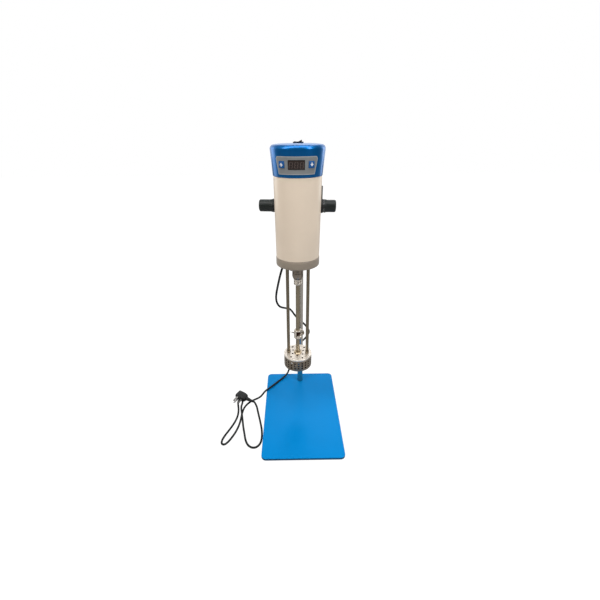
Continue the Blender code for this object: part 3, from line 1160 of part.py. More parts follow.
module_face = cap_radius(window_middle) - MODULE_INSET
module = box("display_module", (2 * WINDOW_HALF_WIDTH, MODULE_DEPTH, window_tall),
             (0.0, -module_face + MODULE_DEPTH / 2, up(window_middle)), BLACK_PLASTIC, head)
module.data.transform(turn_panel)
board_middle = (BOARD_LOW + BOARD_HIGH) / 2
board = box("control_board", (BOARD_WIDTH, BOARD_THICKNESS, BOARD_HIGH - BOARD_LOW),
            (0.0, -module_face + MODULE_DEPTH + TOUCH_GAP + BOARD_THICKNESS / 2,
             up(board_middle)), BOARD_GREEN, head)
board.data.transform(turn_panel)

for side, word in ((-1, "up"), (1, "down")):
    rounded(button_block(f"button_{word}", side, BUTTON_SIZE, BUTTON_LENGTH, 0.0,
                         BUTTON_BLUE), BUTTON_ROUND)

frame_low = cap_high + TOUCH_GAP
switch_frame = box("switch_frame", (SWITCH_WIDTH, SWITCH_DEPTH, SWITCH_FRAME_HEIGHT),
                   (0.0, SWITCH_Y, frame_low + SWITCH_FRAME_HEIGHT / 2), BLACK_PLASTIC, head)
rounded(switch_frame, SWITCH_FRAME_HEIGHT * SWITCH_EDGE_SHARE, 1)
skirt = box("switch_skirt", (switch_width, switch_depth, SWITCH_SKIRT),
            (0.0, SWITCH_Y, frame_low - SWITCH_SKIRT / 2 + SWITCH_FRAME_HEIGHT / 2), None,
            head)
join(switch_frame, skirt)
cut(switch_frame, box("switch_room", (
    switch_width - 2 * SWITCH_SKIRT_WALL, switch_depth - 2 * SWITCH_SKIRT_WALL,
    SWITCH_SKIRT + SWITCH_FRAME_HEIGHT),
    (0.0, SWITCH_Y, frame_low + SWITCH_FRAME_HEIGHT / 2 - SWITCH_SKIRT_WALL
     - (SWITCH_SKIRT - SWITCH_FRAME_HEIGHT) / 2 + SWITCH_FRAME_HEIGHT / 2), None, head))

rocker_half = switch_width / 2 - SWITCH_SKIRT_WALL - ROCKER_END_GAP
rocker_deep = switch_depth - 2 * SWITCH_SKIRT_WALL - 2 * TOUCH_GAP
half_way, half_rise = ROCKER_VALLEY_SHARES
outline = [(-rocker_half, ROCKER_RISE), (-rocker_half * half_way, ROCKER_SADDLE * half_rise),
           (0.0, ROCKER_SADDLE), (rocker_half * half_way, ROCKER_SADDLE * half_rise),
           (rocker_half, ROCKER_RISE), (rocker_half * ROCKER_HEEL_SHARE, 0.0),
           (rocker_half * ROCKER_FOOT_SHARE, -ROCKER_DROP),
           (-rocker_half * ROCKER_FOOT_SHARE, -ROCKER_DROP),
           (-rocker_half * ROCKER_HEEL_SHARE, 0.0)]
rocker = prism("rocker", outline, -rocker_deep / 2, rocker_deep / 2, BLACK_PLASTIC, head)
rocker.data.transform(Matrix.Rotation(-ROCKER_TILT, 4, "Y")
                      @ Matrix.Rotation(math.radians(90), 4, "X"))
rocker.location = (0.0, SWITCH_Y, frame_low + SWITCH_FRAME_HEIGHT / 2)
rounded(rocker, SWITCH_FRAME_HEIGHT * ROCKER_EDGE_SHARE, 1, math.radians(30))

# Mains lead

turned("cord_gland", [
    (CORD_RADIUS + TOUCH_GAP, collar_low + GLAND_STEM_UP),
    (GLAND_STEM_RADIUS, collar_low + GLAND_STEM_UP),
    (GLAND_STEM_RADIUS, collar_low - TOUCH_GAP), (GLAND_BODY_RADIUS, collar_low - TOUCH_GAP),
    (GLAND_BODY_RADIUS, collar_low - TOUCH_GAP - GLAND_BODY_HEIGHT),
    (GLAND_NUT_RADIUS, collar_low - TOUCH_GAP - GLAND_BODY_HEIGHT),
    (GLAND_NUT_RADIUS * GLAND_MOUTH_SHARES[0], collar_low - TOUCH_GAP - GLAND_BODY_HEIGHT
     - GLAND_NUT_HEIGHT * GLAND_MOUTH_SHARES[1]),
    (GLAND_NUT_RADIUS * GLAND_MOUTH_SHARES[2], collar_low - TOUCH_GAP - GLAND_BODY_HEIGHT - GLAND_NUT_HEIGHT),
    (CORD_RADIUS + TOUCH_GAP, collar_low - TOUCH_GAP - GLAND_BODY_HEIGHT
     - GLAND_NUT_HEIGHT)], BLACK_PLASTIC, head, (GLAND_X, GLAND_Y, 0.0), steps=20, ring=True)

gland_mouth = collar_low - TOUCH_GAP - GLAND_BODY_HEIGHT - GLAND_NUT_HEIGHT
exit_points = [HEAD_MATRIX @ Vector((GLAND_X, GLAND_Y, height)) for height in
               (collar_low + CORD_START_ABOVE, gland_mouth, gland_mouth - CORD_RADIUS)]
drop_points = exit_points + [Vector((x, y, up(height))) for x, y, height in DROP_ROUTE]
# The two stretches meet on a level face, so the upper one can swing over the lower one
split = Vector((drop_points[-1].x, drop_points[-1].y, up(SPLIT_HEIGHT)))
cord("cord_drop", smooth_route(drop_points, CORD_STEP) + [split], RUBBER)

floor_points = [Vector(point) for point in FLOOR_ROUTE]
plug_height = PLUG_BASE_Z + PLUG_HEIGHT / 2
plug_matrix = (Matrix.Translation((*PLUG_PLACE, plug_height))
               @ Matrix.Rotation(PLUG_TURN, 4, "Z"))
relief_far = PLUG_LENGTH / 2 + RELIEF_LENGTH
cord_end = plug_matrix @ Vector((relief_far + TOUCH_GAP, 0.0, 0.0))
before_end = [plug_matrix @ Vector((relief_far + share * CORD_RADIUS, 0.0, 0.0))
              for share in CORD_END_SHARES]
floor_start = split - Vector((0.0, 0.0, TOUCH_GAP))
below_start = floor_start - Vector((0.0, 0.0, CORD_TURN_SHARE * CORD_RADIUS))
floor_curve = smooth_route([below_start] + floor_points + before_end + [cord_end],
                           CORD_STEP)
cord("cord_floor", [floor_start] + floor_curve, RUBBER)

plug = box("plug", (PLUG_LENGTH, PLUG_WIDTH, PLUG_HEIGHT), (0.0, 0.0, 0.0), BLACK_PLASTIC)
for corner in plug.data.vertices:
    if corner.co.x > 0.0:
        corner.co.y *= PLUG_NOSE_SHARE
        corner.co.z *= PLUG_NOSE_SHARE
rounded(plug, PLUG_ROUND, 3)
relief = turned("plug_relief", [
    (0.0, relief_far), (RELIEF_END_RADIUS, relief_far),
    (RELIEF_RADIUS, PLUG_LENGTH / 2), (RELIEF_RADIUS, 0.0), (0.0, 0.0)], None, steps=20,
    spin_axis="X")
relief.matrix_world = plug_matrix @ Matrix.Rotation(math.radians(90), 4, "Y")
plug.matrix_world = plug_matrix
join(plug, relief)
pin_spots = ((-PIN_SPREAD, -PIN_DROP, -PIN_SLANT), (-PIN_SPREAD, PIN_DROP, PIN_SLANT),
             (PIN_SPREAD, 0.0, math.radians(90)))
for number, (along, height, slant) in enumerate(pin_spots, start=1):
    slot = box(f"pin_slot_{number}", (PIN_WIDTH + 2 * TOUCH_GAP, 2 * (PIN_ROOT + TOUCH_GAP),
                                      PIN_THICKNESS + 2 * TOUCH_GAP), (0.0, 0.0, 0.0), None)
    turn = Matrix.Rotation(slant, 4, "Y")
    slot.matrix_world = (plug_matrix @ Matrix.Translation((along, -PLUG_WIDTH / 2, height))
                         @ turn)
    cut(plug, slot)
    pin = box(f"plug_pin_{number}", (PIN_WIDTH, PIN_LENGTH + PIN_ROOT, PIN_THICKNESS),
              (0.0, -(PIN_LENGTH + PIN_ROOT) / 2 + PIN_ROOT, 0.0), STEEL)
    rounded(pin, PIN_THICKNESS * PIN_EDGE_SHARE, 1)
    pin.matrix_world = slot.matrix_world

for obj in bpy.data.objects:
    if obj.type == "MESH" and not obj.hide_render:
        smooth(obj)
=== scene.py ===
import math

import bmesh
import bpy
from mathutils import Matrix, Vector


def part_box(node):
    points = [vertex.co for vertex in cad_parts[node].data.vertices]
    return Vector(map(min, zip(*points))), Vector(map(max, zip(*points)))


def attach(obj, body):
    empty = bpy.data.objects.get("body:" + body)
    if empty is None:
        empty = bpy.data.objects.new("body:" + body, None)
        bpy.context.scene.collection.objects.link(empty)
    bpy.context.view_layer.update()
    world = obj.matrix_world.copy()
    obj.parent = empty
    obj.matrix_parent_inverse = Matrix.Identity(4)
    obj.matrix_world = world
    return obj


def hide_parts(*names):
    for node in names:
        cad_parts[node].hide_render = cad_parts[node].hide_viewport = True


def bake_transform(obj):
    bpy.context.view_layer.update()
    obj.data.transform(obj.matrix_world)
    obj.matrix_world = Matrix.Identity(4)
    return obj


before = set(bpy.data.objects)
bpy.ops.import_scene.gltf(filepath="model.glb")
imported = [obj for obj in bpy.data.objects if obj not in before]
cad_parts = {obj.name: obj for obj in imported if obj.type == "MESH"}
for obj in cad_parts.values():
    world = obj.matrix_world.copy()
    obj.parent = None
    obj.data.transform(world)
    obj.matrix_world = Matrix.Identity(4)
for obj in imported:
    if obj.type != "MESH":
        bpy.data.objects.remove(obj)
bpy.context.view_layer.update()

# %% [markdown]
# A laboratory homogenizer, finished piece by piece
#
# The imported CAD part gives the frame: it says where each piece is and what moves with what.
# Each cell below takes one piece, or one finish, and makes the version that is seen. A round
# piece is turned again with many more steps and soft edges, so that it takes highlights as a
# machined or moulded piece does. Its place and size are read from the CAD node with the same
# name, so the two can't drift apart.

TURN_STEPS = 128            # steps of a turned piece's full turn
FINE_TURN_STEPS = 192       # for the widest pieces, whose outlines show most
EDGE_STEPS = 5              # points on each rounded edge
SMOOTH_ANGLE = math.radians(32)
HEAD_SWING = math.radians(-5.5)
COLUMN_Y = 0.1244
HEAD_REACH = 0.0944
CORD_RADIUS = 0.0027
TOUCH_GAP = 0.0003

HEAD_MATRIX = (Matrix.Translation((0.0, COLUMN_Y, 0.0)) @ Matrix.Rotation(HEAD_SWING, 4, "Z")
               @ Matrix.Translation((0.0, -HEAD_REACH, 0.0)))
PLATE_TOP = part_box("base_plate")[1].z

# %% [markdown]
# ## Turning, rounding and placing
#
# A lathe is the right tool for most of this machine: the housing, its cap and collar, the
# rods, the shaft and the stator are all turned shapes. `lathe` takes the outline that a turner
# would draw, rounds its corners, and sweeps it about the axis. The mesh is made with that
# axis on Z, and its place is then baked into its points, so every finished object stays at
# the origin, unturned and unscaled.

# %% Lathe and helpers
def soften(points, radius):
    """Round the inner corners of an outline of (radius, height) points."""
    if radius <= 0.0:
        return points
    rounded = [points[0]]
    for before, corner, after in zip(points, points[1:], points[2:]):
        a = Vector(before)
        b = Vector(corner)
        c = Vector(after)
        reach = min(radius, (a - b).length * 0.45, (c - b).length * 0.45)
        start = b + (a - b).normalized() * reach
        end = b + (c - b).normalized() * reach
        for step in range(EDGE_STEPS + 1):
            t = step / EDGE_STEPS
            rounded.append(tuple(start.lerp(b, t).lerp(b.lerp(end, t), t)))
    rounded.append(points[-1])
    return rounded


def mesh_object(name, verts, faces, matrix=None):
    mesh = bpy.data.meshes.new(name)
    mesh.from_pydata([tuple(v) for v in verts], [], faces)
    if matrix is not None:
        mesh.transform(matrix)
    mesh.validate()
    obj = bpy.data.objects.new(name, mesh)
    bpy.context.scene.collection.objects.link(obj)
    shape = bmesh.new()
    shape.from_mesh(mesh)
    bmesh.ops.remove_doubles(shape, verts=shape.verts, dist=1e-7)
    bmesh.ops.recalc_face_normals(shape, faces=shape.faces)
    shape.to_mesh(mesh)
    shape.free()
    return obj


def shade_round(obj, angle=SMOOTH_ANGLE):
    for polygon in obj.data.polygons:
        polygon.use_smooth = True
    obj.data.set_sharp_from_angle(angle=angle)
    return obj


def lathe(name, outline, matrix=None, edge=0.0005, steps=TURN_STEPS, closed=False,
          ripple=None):
    """Turn an outline about Z. A closed outline makes a ring; an open one ends on the axis.
    ripple(angle, radius, height) may change the radius, for flutes and grips."""
    if closed:
        first = Vector(outline[-1]).lerp(Vector(outline[0]), 0.5)
        loop = soften([tuple(first)] + list(outline) + [tuple(first)], edge)[:-1]
    else:
        loop = soften(list(outline), edge)
    verts = []
    faces = []
    count = len(loop)
    for step in range(steps):
        angle = math.tau * step / steps
        for radius, height in loop:
            if ripple is not None:
                radius = ripple(angle, radius, height)
            verts.append((radius * math.cos(angle), radius * math.sin(angle), height))
    for step in range(steps):
        here = step * count
        there = (step + 1) % steps * count
        for index in range(count if closed else count - 1):
            after = (index + 1) % count
            faces.append((here + index, here + after, there + after, there + index))
    return shade_round(mesh_object(name, verts, faces, matrix))


def ring_outline(outer, inner, low, high):
    return [(inner, high), (outer, high), (outer, low), (inner, low)]


def disc_outline(radius, low, high):
    return [(0.0, high), (radius, high), (radius, low), (0.0, low)]


def turned_place(node):
    """A round, upright CAD node's middle, radius, lowest and highest level."""
    low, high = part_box(node)
    middle = (low + high) / 2
    return Vector((middle.x, middle.y, 0.0)), (high.x - low.x) / 2, low.z, high.z


def at(place):
    return Matrix.Translation((place.x, place.y, 0.0))


def applied(obj):
    """The object with its modifiers made real, as one plain mesh."""
    graph = bpy.context.evaluated_depsgraph_get()
    mesh = bpy.data.meshes.new_from_object(obj.evaluated_get(graph))
    old = obj.data
    obj.modifiers.clear()
    obj.data = mesh
    bpy.data.meshes.remove(old)
    return obj


def carve(obj, cutters, operation="DIFFERENCE"):
    for other in cutters:
        step = obj.modifiers.new("Carve", "BOOLEAN")
        step.operation = operation
        step.solver = "EXACT"
        step.object = other
    applied(obj)
    for other in cutters:
        bpy.data.objects.remove(other, do_unlink=True)
    return shade_round(obj)


def soft_edges(obj, width, segments=3, angle=math.radians(35)):
    bevel = obj.modifiers.new("Edges", "BEVEL")
    bevel.width = width
    bevel.segments = segments
    bevel.limit_method = "ANGLE"
    bevel.angle_limit = angle
    bevel.harden_normals = False
    return shade_round(applied(obj))


def block(name, size, middle=(0.0, 0.0, 0.0), matrix=None):
    corners = [(x * size[0] / 2 + middle[0], y * size[1] / 2 + middle[1],
                z * size[2] / 2 + middle[2])
               for x in (-1, 1) for y in (-1, 1) for z in (-1, 1)]
    faces = [(0, 1, 3, 2), (4, 6, 7, 5), (0, 4, 5, 1), (2, 3, 7, 6), (0, 2, 6, 4),
             (1, 5, 7, 3)]
    return mesh_object(name, corners, faces, matrix)


def extruded(name, outline, low, high, matrix=None):
    count = len(outline)
    verts = [(x, y, low) for x, y in outline] + [(x, y, high) for x, y in outline]
    faces = [tuple(range(count - 1, -1, -1)), tuple(range(count, 2 * count))]
    faces += [(index, (index + 1) % count, count + (index + 1) % count, count + index)
              for index in range(count)]
    return mesh_object(name, verts, faces, matrix)


def rounded_rectangle(width, depth, radius, steps=12):
    points = []
    for corner, (sx, sy) in enumerate(((1, 1), (-1, 1), (-1, -1), (1, -1))):
        for step in range(steps + 1):
            angle = math.radians(90) * (corner + step / steps)
            points.append((sx * (width / 2 - radius) + radius * math.cos(angle),
                           sy * (depth / 2 - radius) + radius * math.sin(angle)))
    return points


def mark_faces(obj, word, inside):
    """Mark the faces that inside() picks, for a finish that treats them apart."""
    marks = obj.data.attributes.new(word, "FLOAT", "FACE")
    for face, mark in zip(obj.data.polygons, marks.data):
        mark.value = float(inside(face.center, face.normal))


def settle(obj, look, body, *nodes, slot=None):
    """Give a piece its finish, attach it to the body it moves with, and hide the CAD nodes it
    stands for.
    """
    obj.data.materials.clear()
    obj.data.materials.append(look)
    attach(obj, body)
    if nodes:
        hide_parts(*nodes)
    return obj


def dress(node, look):
    """Show a CAD node as it is, under a better finish."""
    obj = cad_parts[node]
    obj.data.materials.clear()
    obj.data.materials.append(look)
    shade_round(obj)
    return obj


# %% [markdown]
# ## Shader arithmetic
#
# A finish is easiest to read as a formula. `Value` wraps a node's output and lets ordinary
# arithmetic build the Math nodes. `Shade.add` makes any other node. Patterns are laid out in
# Object coordinates, which are metres here, so a scale of 900 means features about a
# millimetre across.

# %% Shader classes
class Value:
    """One output in a shader, which ordinary arithmetic can use."""

    def __init__(self, shade, socket):
        self.shade = shade
        self.socket = socket

    def math(self, operation, *others):
        return self.shade.add("ShaderNodeMath", {"operation": operation},
                              {index: item for index, item in enumerate((self, *others))})

    def __add__(self, other):
        return self.math("ADD", other)

    def __sub__(self, other):
        return self.math("SUBTRACT", other)

    def __mul__(self, other):
        return self.math("MULTIPLY", other)

    def __truediv__(self, other):
        return self.math("DIVIDE", other)

    def __rsub__(self, other):
        return (self * -1.0).math("ADD", other)

    def clamped(self):
        return self.math("MAXIMUM", 0.0).math("MINIMUM", 1.0)

    def above(self, edge, width):
        """Rises from 0 to 1 about an edge, over a width."""
        return ((self - edge) / width + 0.5).clamped()

    __radd__ = __add__
    __rmul__ = __mul__


class Shade:
    """A material under construction."""

    def __init__(self, name):
        self.material = bpy.data.materials.new(name)
        self.material.use_nodes = True
        self.tree = self.material.node_tree
        self.shader = self.tree.nodes["Principled BSDF"]

    def add(self, kind, settings=None, inputs=None, output=0):
        node = self.tree.nodes.new(kind)
        for key, value in (settings or {}).items():
            setattr(node, key, value)
        for key, value in (inputs or {}).items():
            self.plug(node.inputs[key], value)
        return Value(self, node.outputs[output])

    def plug(self, socket, value):
        if isinstance(value, Value):
            self.tree.links.new(value.socket, socket)
        else:
            socket.default_value = value

    def coordinates(self):
        return self.add("ShaderNodeTexCoord", output="Object")

    def stretched(self, x, y, z):
        return self.add("ShaderNodeVectorMath", {"operation": "MULTIPLY"},
                        {0: self.coordinates(), 1: (x, y, z)})

    def noise(self, scale, detail=2.0, roughness=0.5, where=None):
        return self.add("ShaderNodeTexNoise", {}, {
            "Vector": where or self.coordinates(), "Scale": scale, "Detail": detail,
            "Roughness": roughness})

    def blend(self, share, first, second):
        node = self.tree.nodes.new("ShaderNodeMix")
        node.data_type = "RGBA"
        sockets = {socket.identifier: socket for socket in node.inputs}
        self.plug(sockets["Factor_Float"], share)
        for key, colour in (("A_Color", first), ("B_Color", second)):
            self.plug(sockets[key], colour if isinstance(colour, Value) else (*colour, 1.0))
        results = {socket.identifier: socket for socket in node.outputs}
        return Value(self, results["Result_Color"])

    def bump(self, height, strength, distance):
        return self.add("ShaderNodeBump", {}, {
            "Height": height, "Strength": strength, "Distance": distance})

    def set(self, **sockets):
        for name, value in sockets.items():
            self.plug(self.shader.inputs[name.replace("_", " ")], value)
        return self

    def done(self):
        return self.material


def shifted(colour, amount):
    return tuple(max(0.0, min(1.0, channel * amount)) for channel in colour)


# %% [markdown]
# ## Finishes
#
# Paint is a colour with a sheen, over which most pieces have a thin clear coat, and a faint
# waviness breaks up long reflections. The cap's paint is partly metallic.
# Turned steel carries fine rings across its axis, and plain steel a soft grain. Moulded
# plastic has a shallow, even texture. Each maker below takes the colour and returns one
# material, so that every piece gets a finish with its own name. Two face marks paint shade
# into a finish: marked side faces take a darker copy of the paint as painted shade, and
# marked steel in hollows and undersides turns dark brown as painted shade.

# %% Finish makers
SIDE_PAINTED_SHADE = 0.35                   # painted shade: a marked side face is painted this share of the colour, for the plate's shaded front
PAINTED_SHADE_BROWN = (0.042, 0.022, 0.018)  # painted shade: dark brown laid on steel in hollows and undersides


def paint(name, colour, roughness=0.2, coat=0.6, wave=0.25, wear=0.06, shine=0.35,
          tint=(1.0, 1.0, 1.0), metal=0.0):
    s = Shade(name)
    cloud = s.noise(16.0, 3.0)
    fine = s.noise(2600.0, 1.0)
    # Painted shade: faces marked side take a darker copy of the colour.
    side = s.add("ShaderNodeAttribute", {"attribute_name": "side"}, output="Fac")
    coat_colour = s.blend(cloud, shifted(colour, 0.93), shifted(colour, 1.06))
    s.set(Base_Color=s.blend(side, coat_colour, shifted(colour, SIDE_PAINTED_SHADE)),
          Roughness=roughness + s.noise(90.0, 4.0) * wear,
          Coat_Weight=coat, Coat_Roughness=0.07, Specular_IOR_Level=shine,
          Specular_Tint=(*tint, 1.0), Metallic=metal,
          Normal=s.bump(s.noise(420.0, 1.0) * 0.7 + fine * 0.3, wave, 0.00002))
    return s.done()


def turned_steel(name, colour, roughness=0.14, rings=5200.0, depth=0.22):
    """Steel with fine rings across the Z axis, as a lathe and a polish leave it."""
    s = Shade(name)
    across = s.noise(1.0, 3.0, 0.6, s.stretched(60.0, 60.0, rings))
    stain = s.noise(26.0, 4.0, 0.6)
    # Painted shade: marked faces in hollows and undersides turn dark brown.
    painted_shade = s.add("ShaderNodeAttribute", {"attribute_name": "painted_shade"}, output="Fac")
    polished = s.blend(stain.above(0.5, 0.7), shifted(colour, 0.86), shifted(colour, 1.08))
    s.set(Base_Color=s.blend(painted_shade, polished, PAINTED_SHADE_BROWN),
          Metallic=1.0, Roughness=roughness + across * 0.10 + stain * 0.05 + painted_shade * 0.3,
          Normal=s.bump(across, depth, 0.00001))
    return s.done()


def plain_steel(name, colour, roughness=0.32):
    s = Shade(name)
    grain = s.noise(1500.0, 4.0, 0.6)
    stain = s.noise(55.0, 4.0)
    s.set(Base_Color=s.blend(stain, shifted(colour, 0.8), shifted(colour, 1.12)),
          Metallic=1.0, Roughness=roughness + grain * 0.12,
          Normal=s.bump(grain, 0.25, 0.00002))
    return s.done()


def moulded(name, colour, roughness=0.42, grain=2200.0, depth=0.35, coat=0.0):
    s = Shade(name)
    texture = s.noise(grain, 2.0)
    cloud = s.noise(35.0, 3.0)
    s.set(Base_Color=s.blend(cloud, shifted(colour, 0.85), shifted(colour, 1.2)),
          Roughness=roughness + texture * 0.08 + cloud * 0.05, Coat_Weight=coat,
          Specular_IOR_Level=0.3,
          Normal=s.bump(texture, depth, 0.00003))
    return s.done()


def rubber(name, colour=(0.016, 0.016, 0.017)):
    s = Shade(name)
    dust = s.noise(240.0, 5.0, 0.7)
    s.set(Base_Color=s.blend(dust.above(0.62, 0.3), colour, shifted(colour, 1.8)),
          Roughness=0.52 + s.noise(900.0, 3.0) * 0.2, Specular_IOR_Level=0.25,
          Normal=s.bump(s.noise(1800.0, 2.0), 0.3, 0.00003))
    return s.done()


# %% Finishes in use
STEEL = (0.25, 0.21, 0.165)
BLACK = (0.013, 0.014, 0.015)
BLUE_TINT = (0.10, 0.55, 1.0)       # the plate's paint colours what it reflects
CAP_TINT = (0.85, 0.93, 1.0)        # the cap's does so less where it turns away
plate_paint = paint("plate_blue", (0.0, 0.200, 0.535), 0.27, 0.0, 0.35, 0.08, 0.3, BLUE_TINT)
# Painted shade: the cap wears the plate's blue, painted darker here for the shade on the cap.
cap_paint = paint("cap_blue_shaded", (0.0, 0.135, 0.420), 0.30, 0.38, 0.3, 0.06, 0.15, CAP_TINT, 0.68)
cream_paint = paint("housing_cream", (0.840, 0.715, 0.580), 0.3, 0.2, 0.2)
collar_paint = paint("collar_grey", (0.300, 0.255, 0.205), 0.36, 0.15, 0.3)
bracket_paint = paint("bracket_black", (0.017, 0.019, 0.020), 0.38, 0.1, 0.5)
rod_steel = turned_steel("rod_steel", (0.215, 0.182, 0.133), 0.14)
shaft_steel = turned_steel("shaft_steel", (0.32, 0.275, 0.20), 0.14)
column_steel = turned_steel("column_steel", (0.47, 0.44, 0.40), 0.16)
stator_steel = turned_steel("stator_steel", STEEL, 0.2)
# Painted shade: the rotor's steel is painted dark brown for the shade inside the stator.
rotor_shaded_steel = plain_steel("rotor_shaded_steel", (0.055, 0.032, 0.026), 0.5)
lid_steel = turned_steel("lid_steel", (0.90, 0.84, 0.76), 0.36)
bright_steel = turned_steel("bright_steel", (0.80, 0.74, 0.66), 0.2)
dark_steel = plain_steel("dark_steel", (0.30, 0.26, 0.22), 0.26)
screw_steel = plain_steel("screw_steel", (0.40, 0.38, 0.36), 0.28)
pin_steel = plain_steel("pin_steel", (0.66, 0.66, 0.66), 0.2)
core_steel = plain_steel("core_steel", (0.22, 0.21, 0.20), 0.45)
copper = plain_steel("copper_wire", (0.62, 0.28, 0.13), 0.3)
bronze = plain_steel("bush_bronze", (0.56, 0.46, 0.32), 0.24)
knob_black = moulded("knob_black", (0.016, 0.021, 0.020), 0.34, 1600.0, 0.2)
plastic_black = moulded("plastic_black", BLACK, 0.42)
switch_black = moulded("switch_black", (0.010, 0.010, 0.011), 0.22, 1800.0, 0.15, 0.3)
button_blue = moulded("button_blue", (0.008, 0.100, 0.330), 0.4)
print_white = moulded("print_white", (0.80, 0.82, 0.84), 0.5)
board_green = moulded("board_green", (0.03, 0.16, 0.07), 0.5)
foot_rubber = rubber("foot_rubber")
lead_rubber = rubber("lead_rubber", (0.007, 0.009, 0.009))

# %% [markdown]
# ## Base plate
#
# A flat steel plate with rounded corners and a soft top edge, sprayed glossy blue. It is
# built as a stack of the same rounded outline, each a little further in, which is how a
# rolled edge is drawn. The recess for the column's bolt is cut from below.

# %% Base plate and feet
PLATE_CORNER = 0.012
PLATE_EDGE = 0.0011
BOLT_RECESS = 0.0075
BOLT_RECESS_DEPTH = 0.0042

low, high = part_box("base_plate")
plate_width = high.x - low.x
plate_depth = high.y - low.y
layers = [(PLATE_EDGE * 0.5, low.z), (0.0, low.z + PLATE_EDGE * 0.5)]
layers += [(PLATE_EDGE * (1 - math.cos(math.radians(15 * step))),
            high.z - PLATE_EDGE * (1 - math.sin(math.radians(15 * step))))
           for step in range(7)]
verts = []
faces = []
for inset, level in layers:
    outline = rounded_rectangle(plate_width - 2 * inset, plate_depth - 2 * inset,
                                PLATE_CORNER - inset)
    verts += [(x, y, level) for x, y in outline]
count = len(verts) // len(layers)
for layer in range(len(layers) - 1):
    for index in range(count):
        after = (index + 1) % count
        faces.append((layer * count + index, layer * count + after,
                      (layer + 1) * count + after, (layer + 1) * count + index))
faces.append(tuple(range(count)))
faces.append(tuple(range(len(verts) - count, len(verts))))
plate = mesh_object("plate_visual", verts, faces)
recess = lathe("recess_cut", disc_outline(BOLT_RECESS, low.z - BOLT_RECESS_DEPTH,
                                          low.z + BOLT_RECESS_DEPTH),
               Matrix.Translation((0.0, COLUMN_Y, 0.0)), 0.0)
carve(plate, [recess])
# Painted shade: the plate's side faces are marked for a darker painted shade of the blue.
mark_faces(plate, "side", lambda middle, normal: abs(normal.z) < 0.5)
settle(plate, plate_paint, "stand", "base_plate", slot="plate_paint")

for number in range(1, 5):
    place, radius, low_z, high_z = turned_place(f"foot_{number}")
    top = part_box("base_plate")[0].z - TOUCH_GAP
    foot = lathe(f"foot_visual_{number}", [
        (0.0, top), (radius * 0.82, top), (radius * 0.86, top * 0.7), (radius * 0.93, top * 0.5),
        (radius, 0.0008), (radius * 0.97, 0.0), (radius * 0.42, 0.0), (radius * 0.36, 0.003),
        (0.0, 0.003)], at(place), 0.0006, 64)
    settle(foot, foot_rubber, "stand", f"foot_{number}", slot="rubber")

# %% [markdown]
# ## Column
#
# The column is a ground bar. It is paler and a little cooler than the rods, and its foot
# reflects the plate.

# %% Column, its cap and bolt
place, radius, low_z, high_z = turned_place("column")
column = lathe("column_visual", disc_outline(radius, low_z, high_z), at(place), 0.0008)
settle(column, column_steel, "stand", "column", slot="polished_steel")
cap_place, cap_radius, cap_low, cap_high = turned_place("column_cap")
column_cap = lathe("column_cap_visual", [
    (0.0, cap_high), (cap_radius * 0.55, cap_high - 0.0004),
    (cap_radius * 0.9, high_z + 0.0018), (cap_radius, high_z + TOUCH_GAP), (0.0, high_z
                                                                      + TOUCH_GAP)],
    at(cap_place), 0.0009)
settle(column_cap, plastic_black, "stand", "column_cap", slot="black_plastic")
dress("column_bolt", screw_steel)

# %% [markdown]
# ## Stop ring, bracket and knobs
#
# The bracket is a casting with a fine, even paint, so the CAD shape is kept and finished. The
# stop ring is turned steel. Its thumb screw has a fluted grip, made by letting the lathe's
# radius rise and fall round the turn.

# %% Stop ring and thumb screw
place, radius, low_z, high_z = turned_place("stop_ring")
stop = lathe("stop_ring_visual", ring_outline(radius, 0.0083, low_z, high_z), at(place),
             0.0009, closed=True)
settle(stop, dark_steel, "stop", "stop_ring", slot="plain_steel")

GRIP_FLUTES = 18
GRIP_DEPTH = 0.035
screw_low, screw_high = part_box("stop_screw")
screw_middle = (screw_low + screw_high) / 2
screw_reach = screw_high.y - screw_low.y
grip_radius = (screw_high.z - screw_low.z) / 2


def grip_ripple(angle, radius, height):
    if radius < grip_radius * 0.8:
        return radius
    return radius * (1 - GRIP_DEPTH + GRIP_DEPTH * math.cos(GRIP_FLUTES * angle))


thumb = lathe("thumb_screw_visual", [
    (0.0, screw_reach), (grip_radius * 0.55, screw_reach), (grip_radius * 0.6, screw_reach
                                                            - 0.0006),
    (grip_radius, screw_reach - 0.0006), (grip_radius, screw_reach - 0.008),
    (grip_radius * 0.5, screw_reach - 0.008), (0.0024, screw_reach - 0.0084), (0.0024, 0.0),
    (0.0, 0.0)], Matrix.Translation((screw_middle.x, screw_low.y, screw_middle.z))
    @ Matrix.Rotation(math.radians(-90), 4, "X"), 0.0005, ripple=grip_ripple)
settle(thumb, knob_black, "stop_thumb_screw", "stop_screw", slot="black_plastic")

# %% Bracket and knobs
dress("bracket", bracket_paint)
for node in ("clamp_screw_lower", "clamp_screw_upper", "stud_left", "stud_right"):
    dress(node, screw_steel)

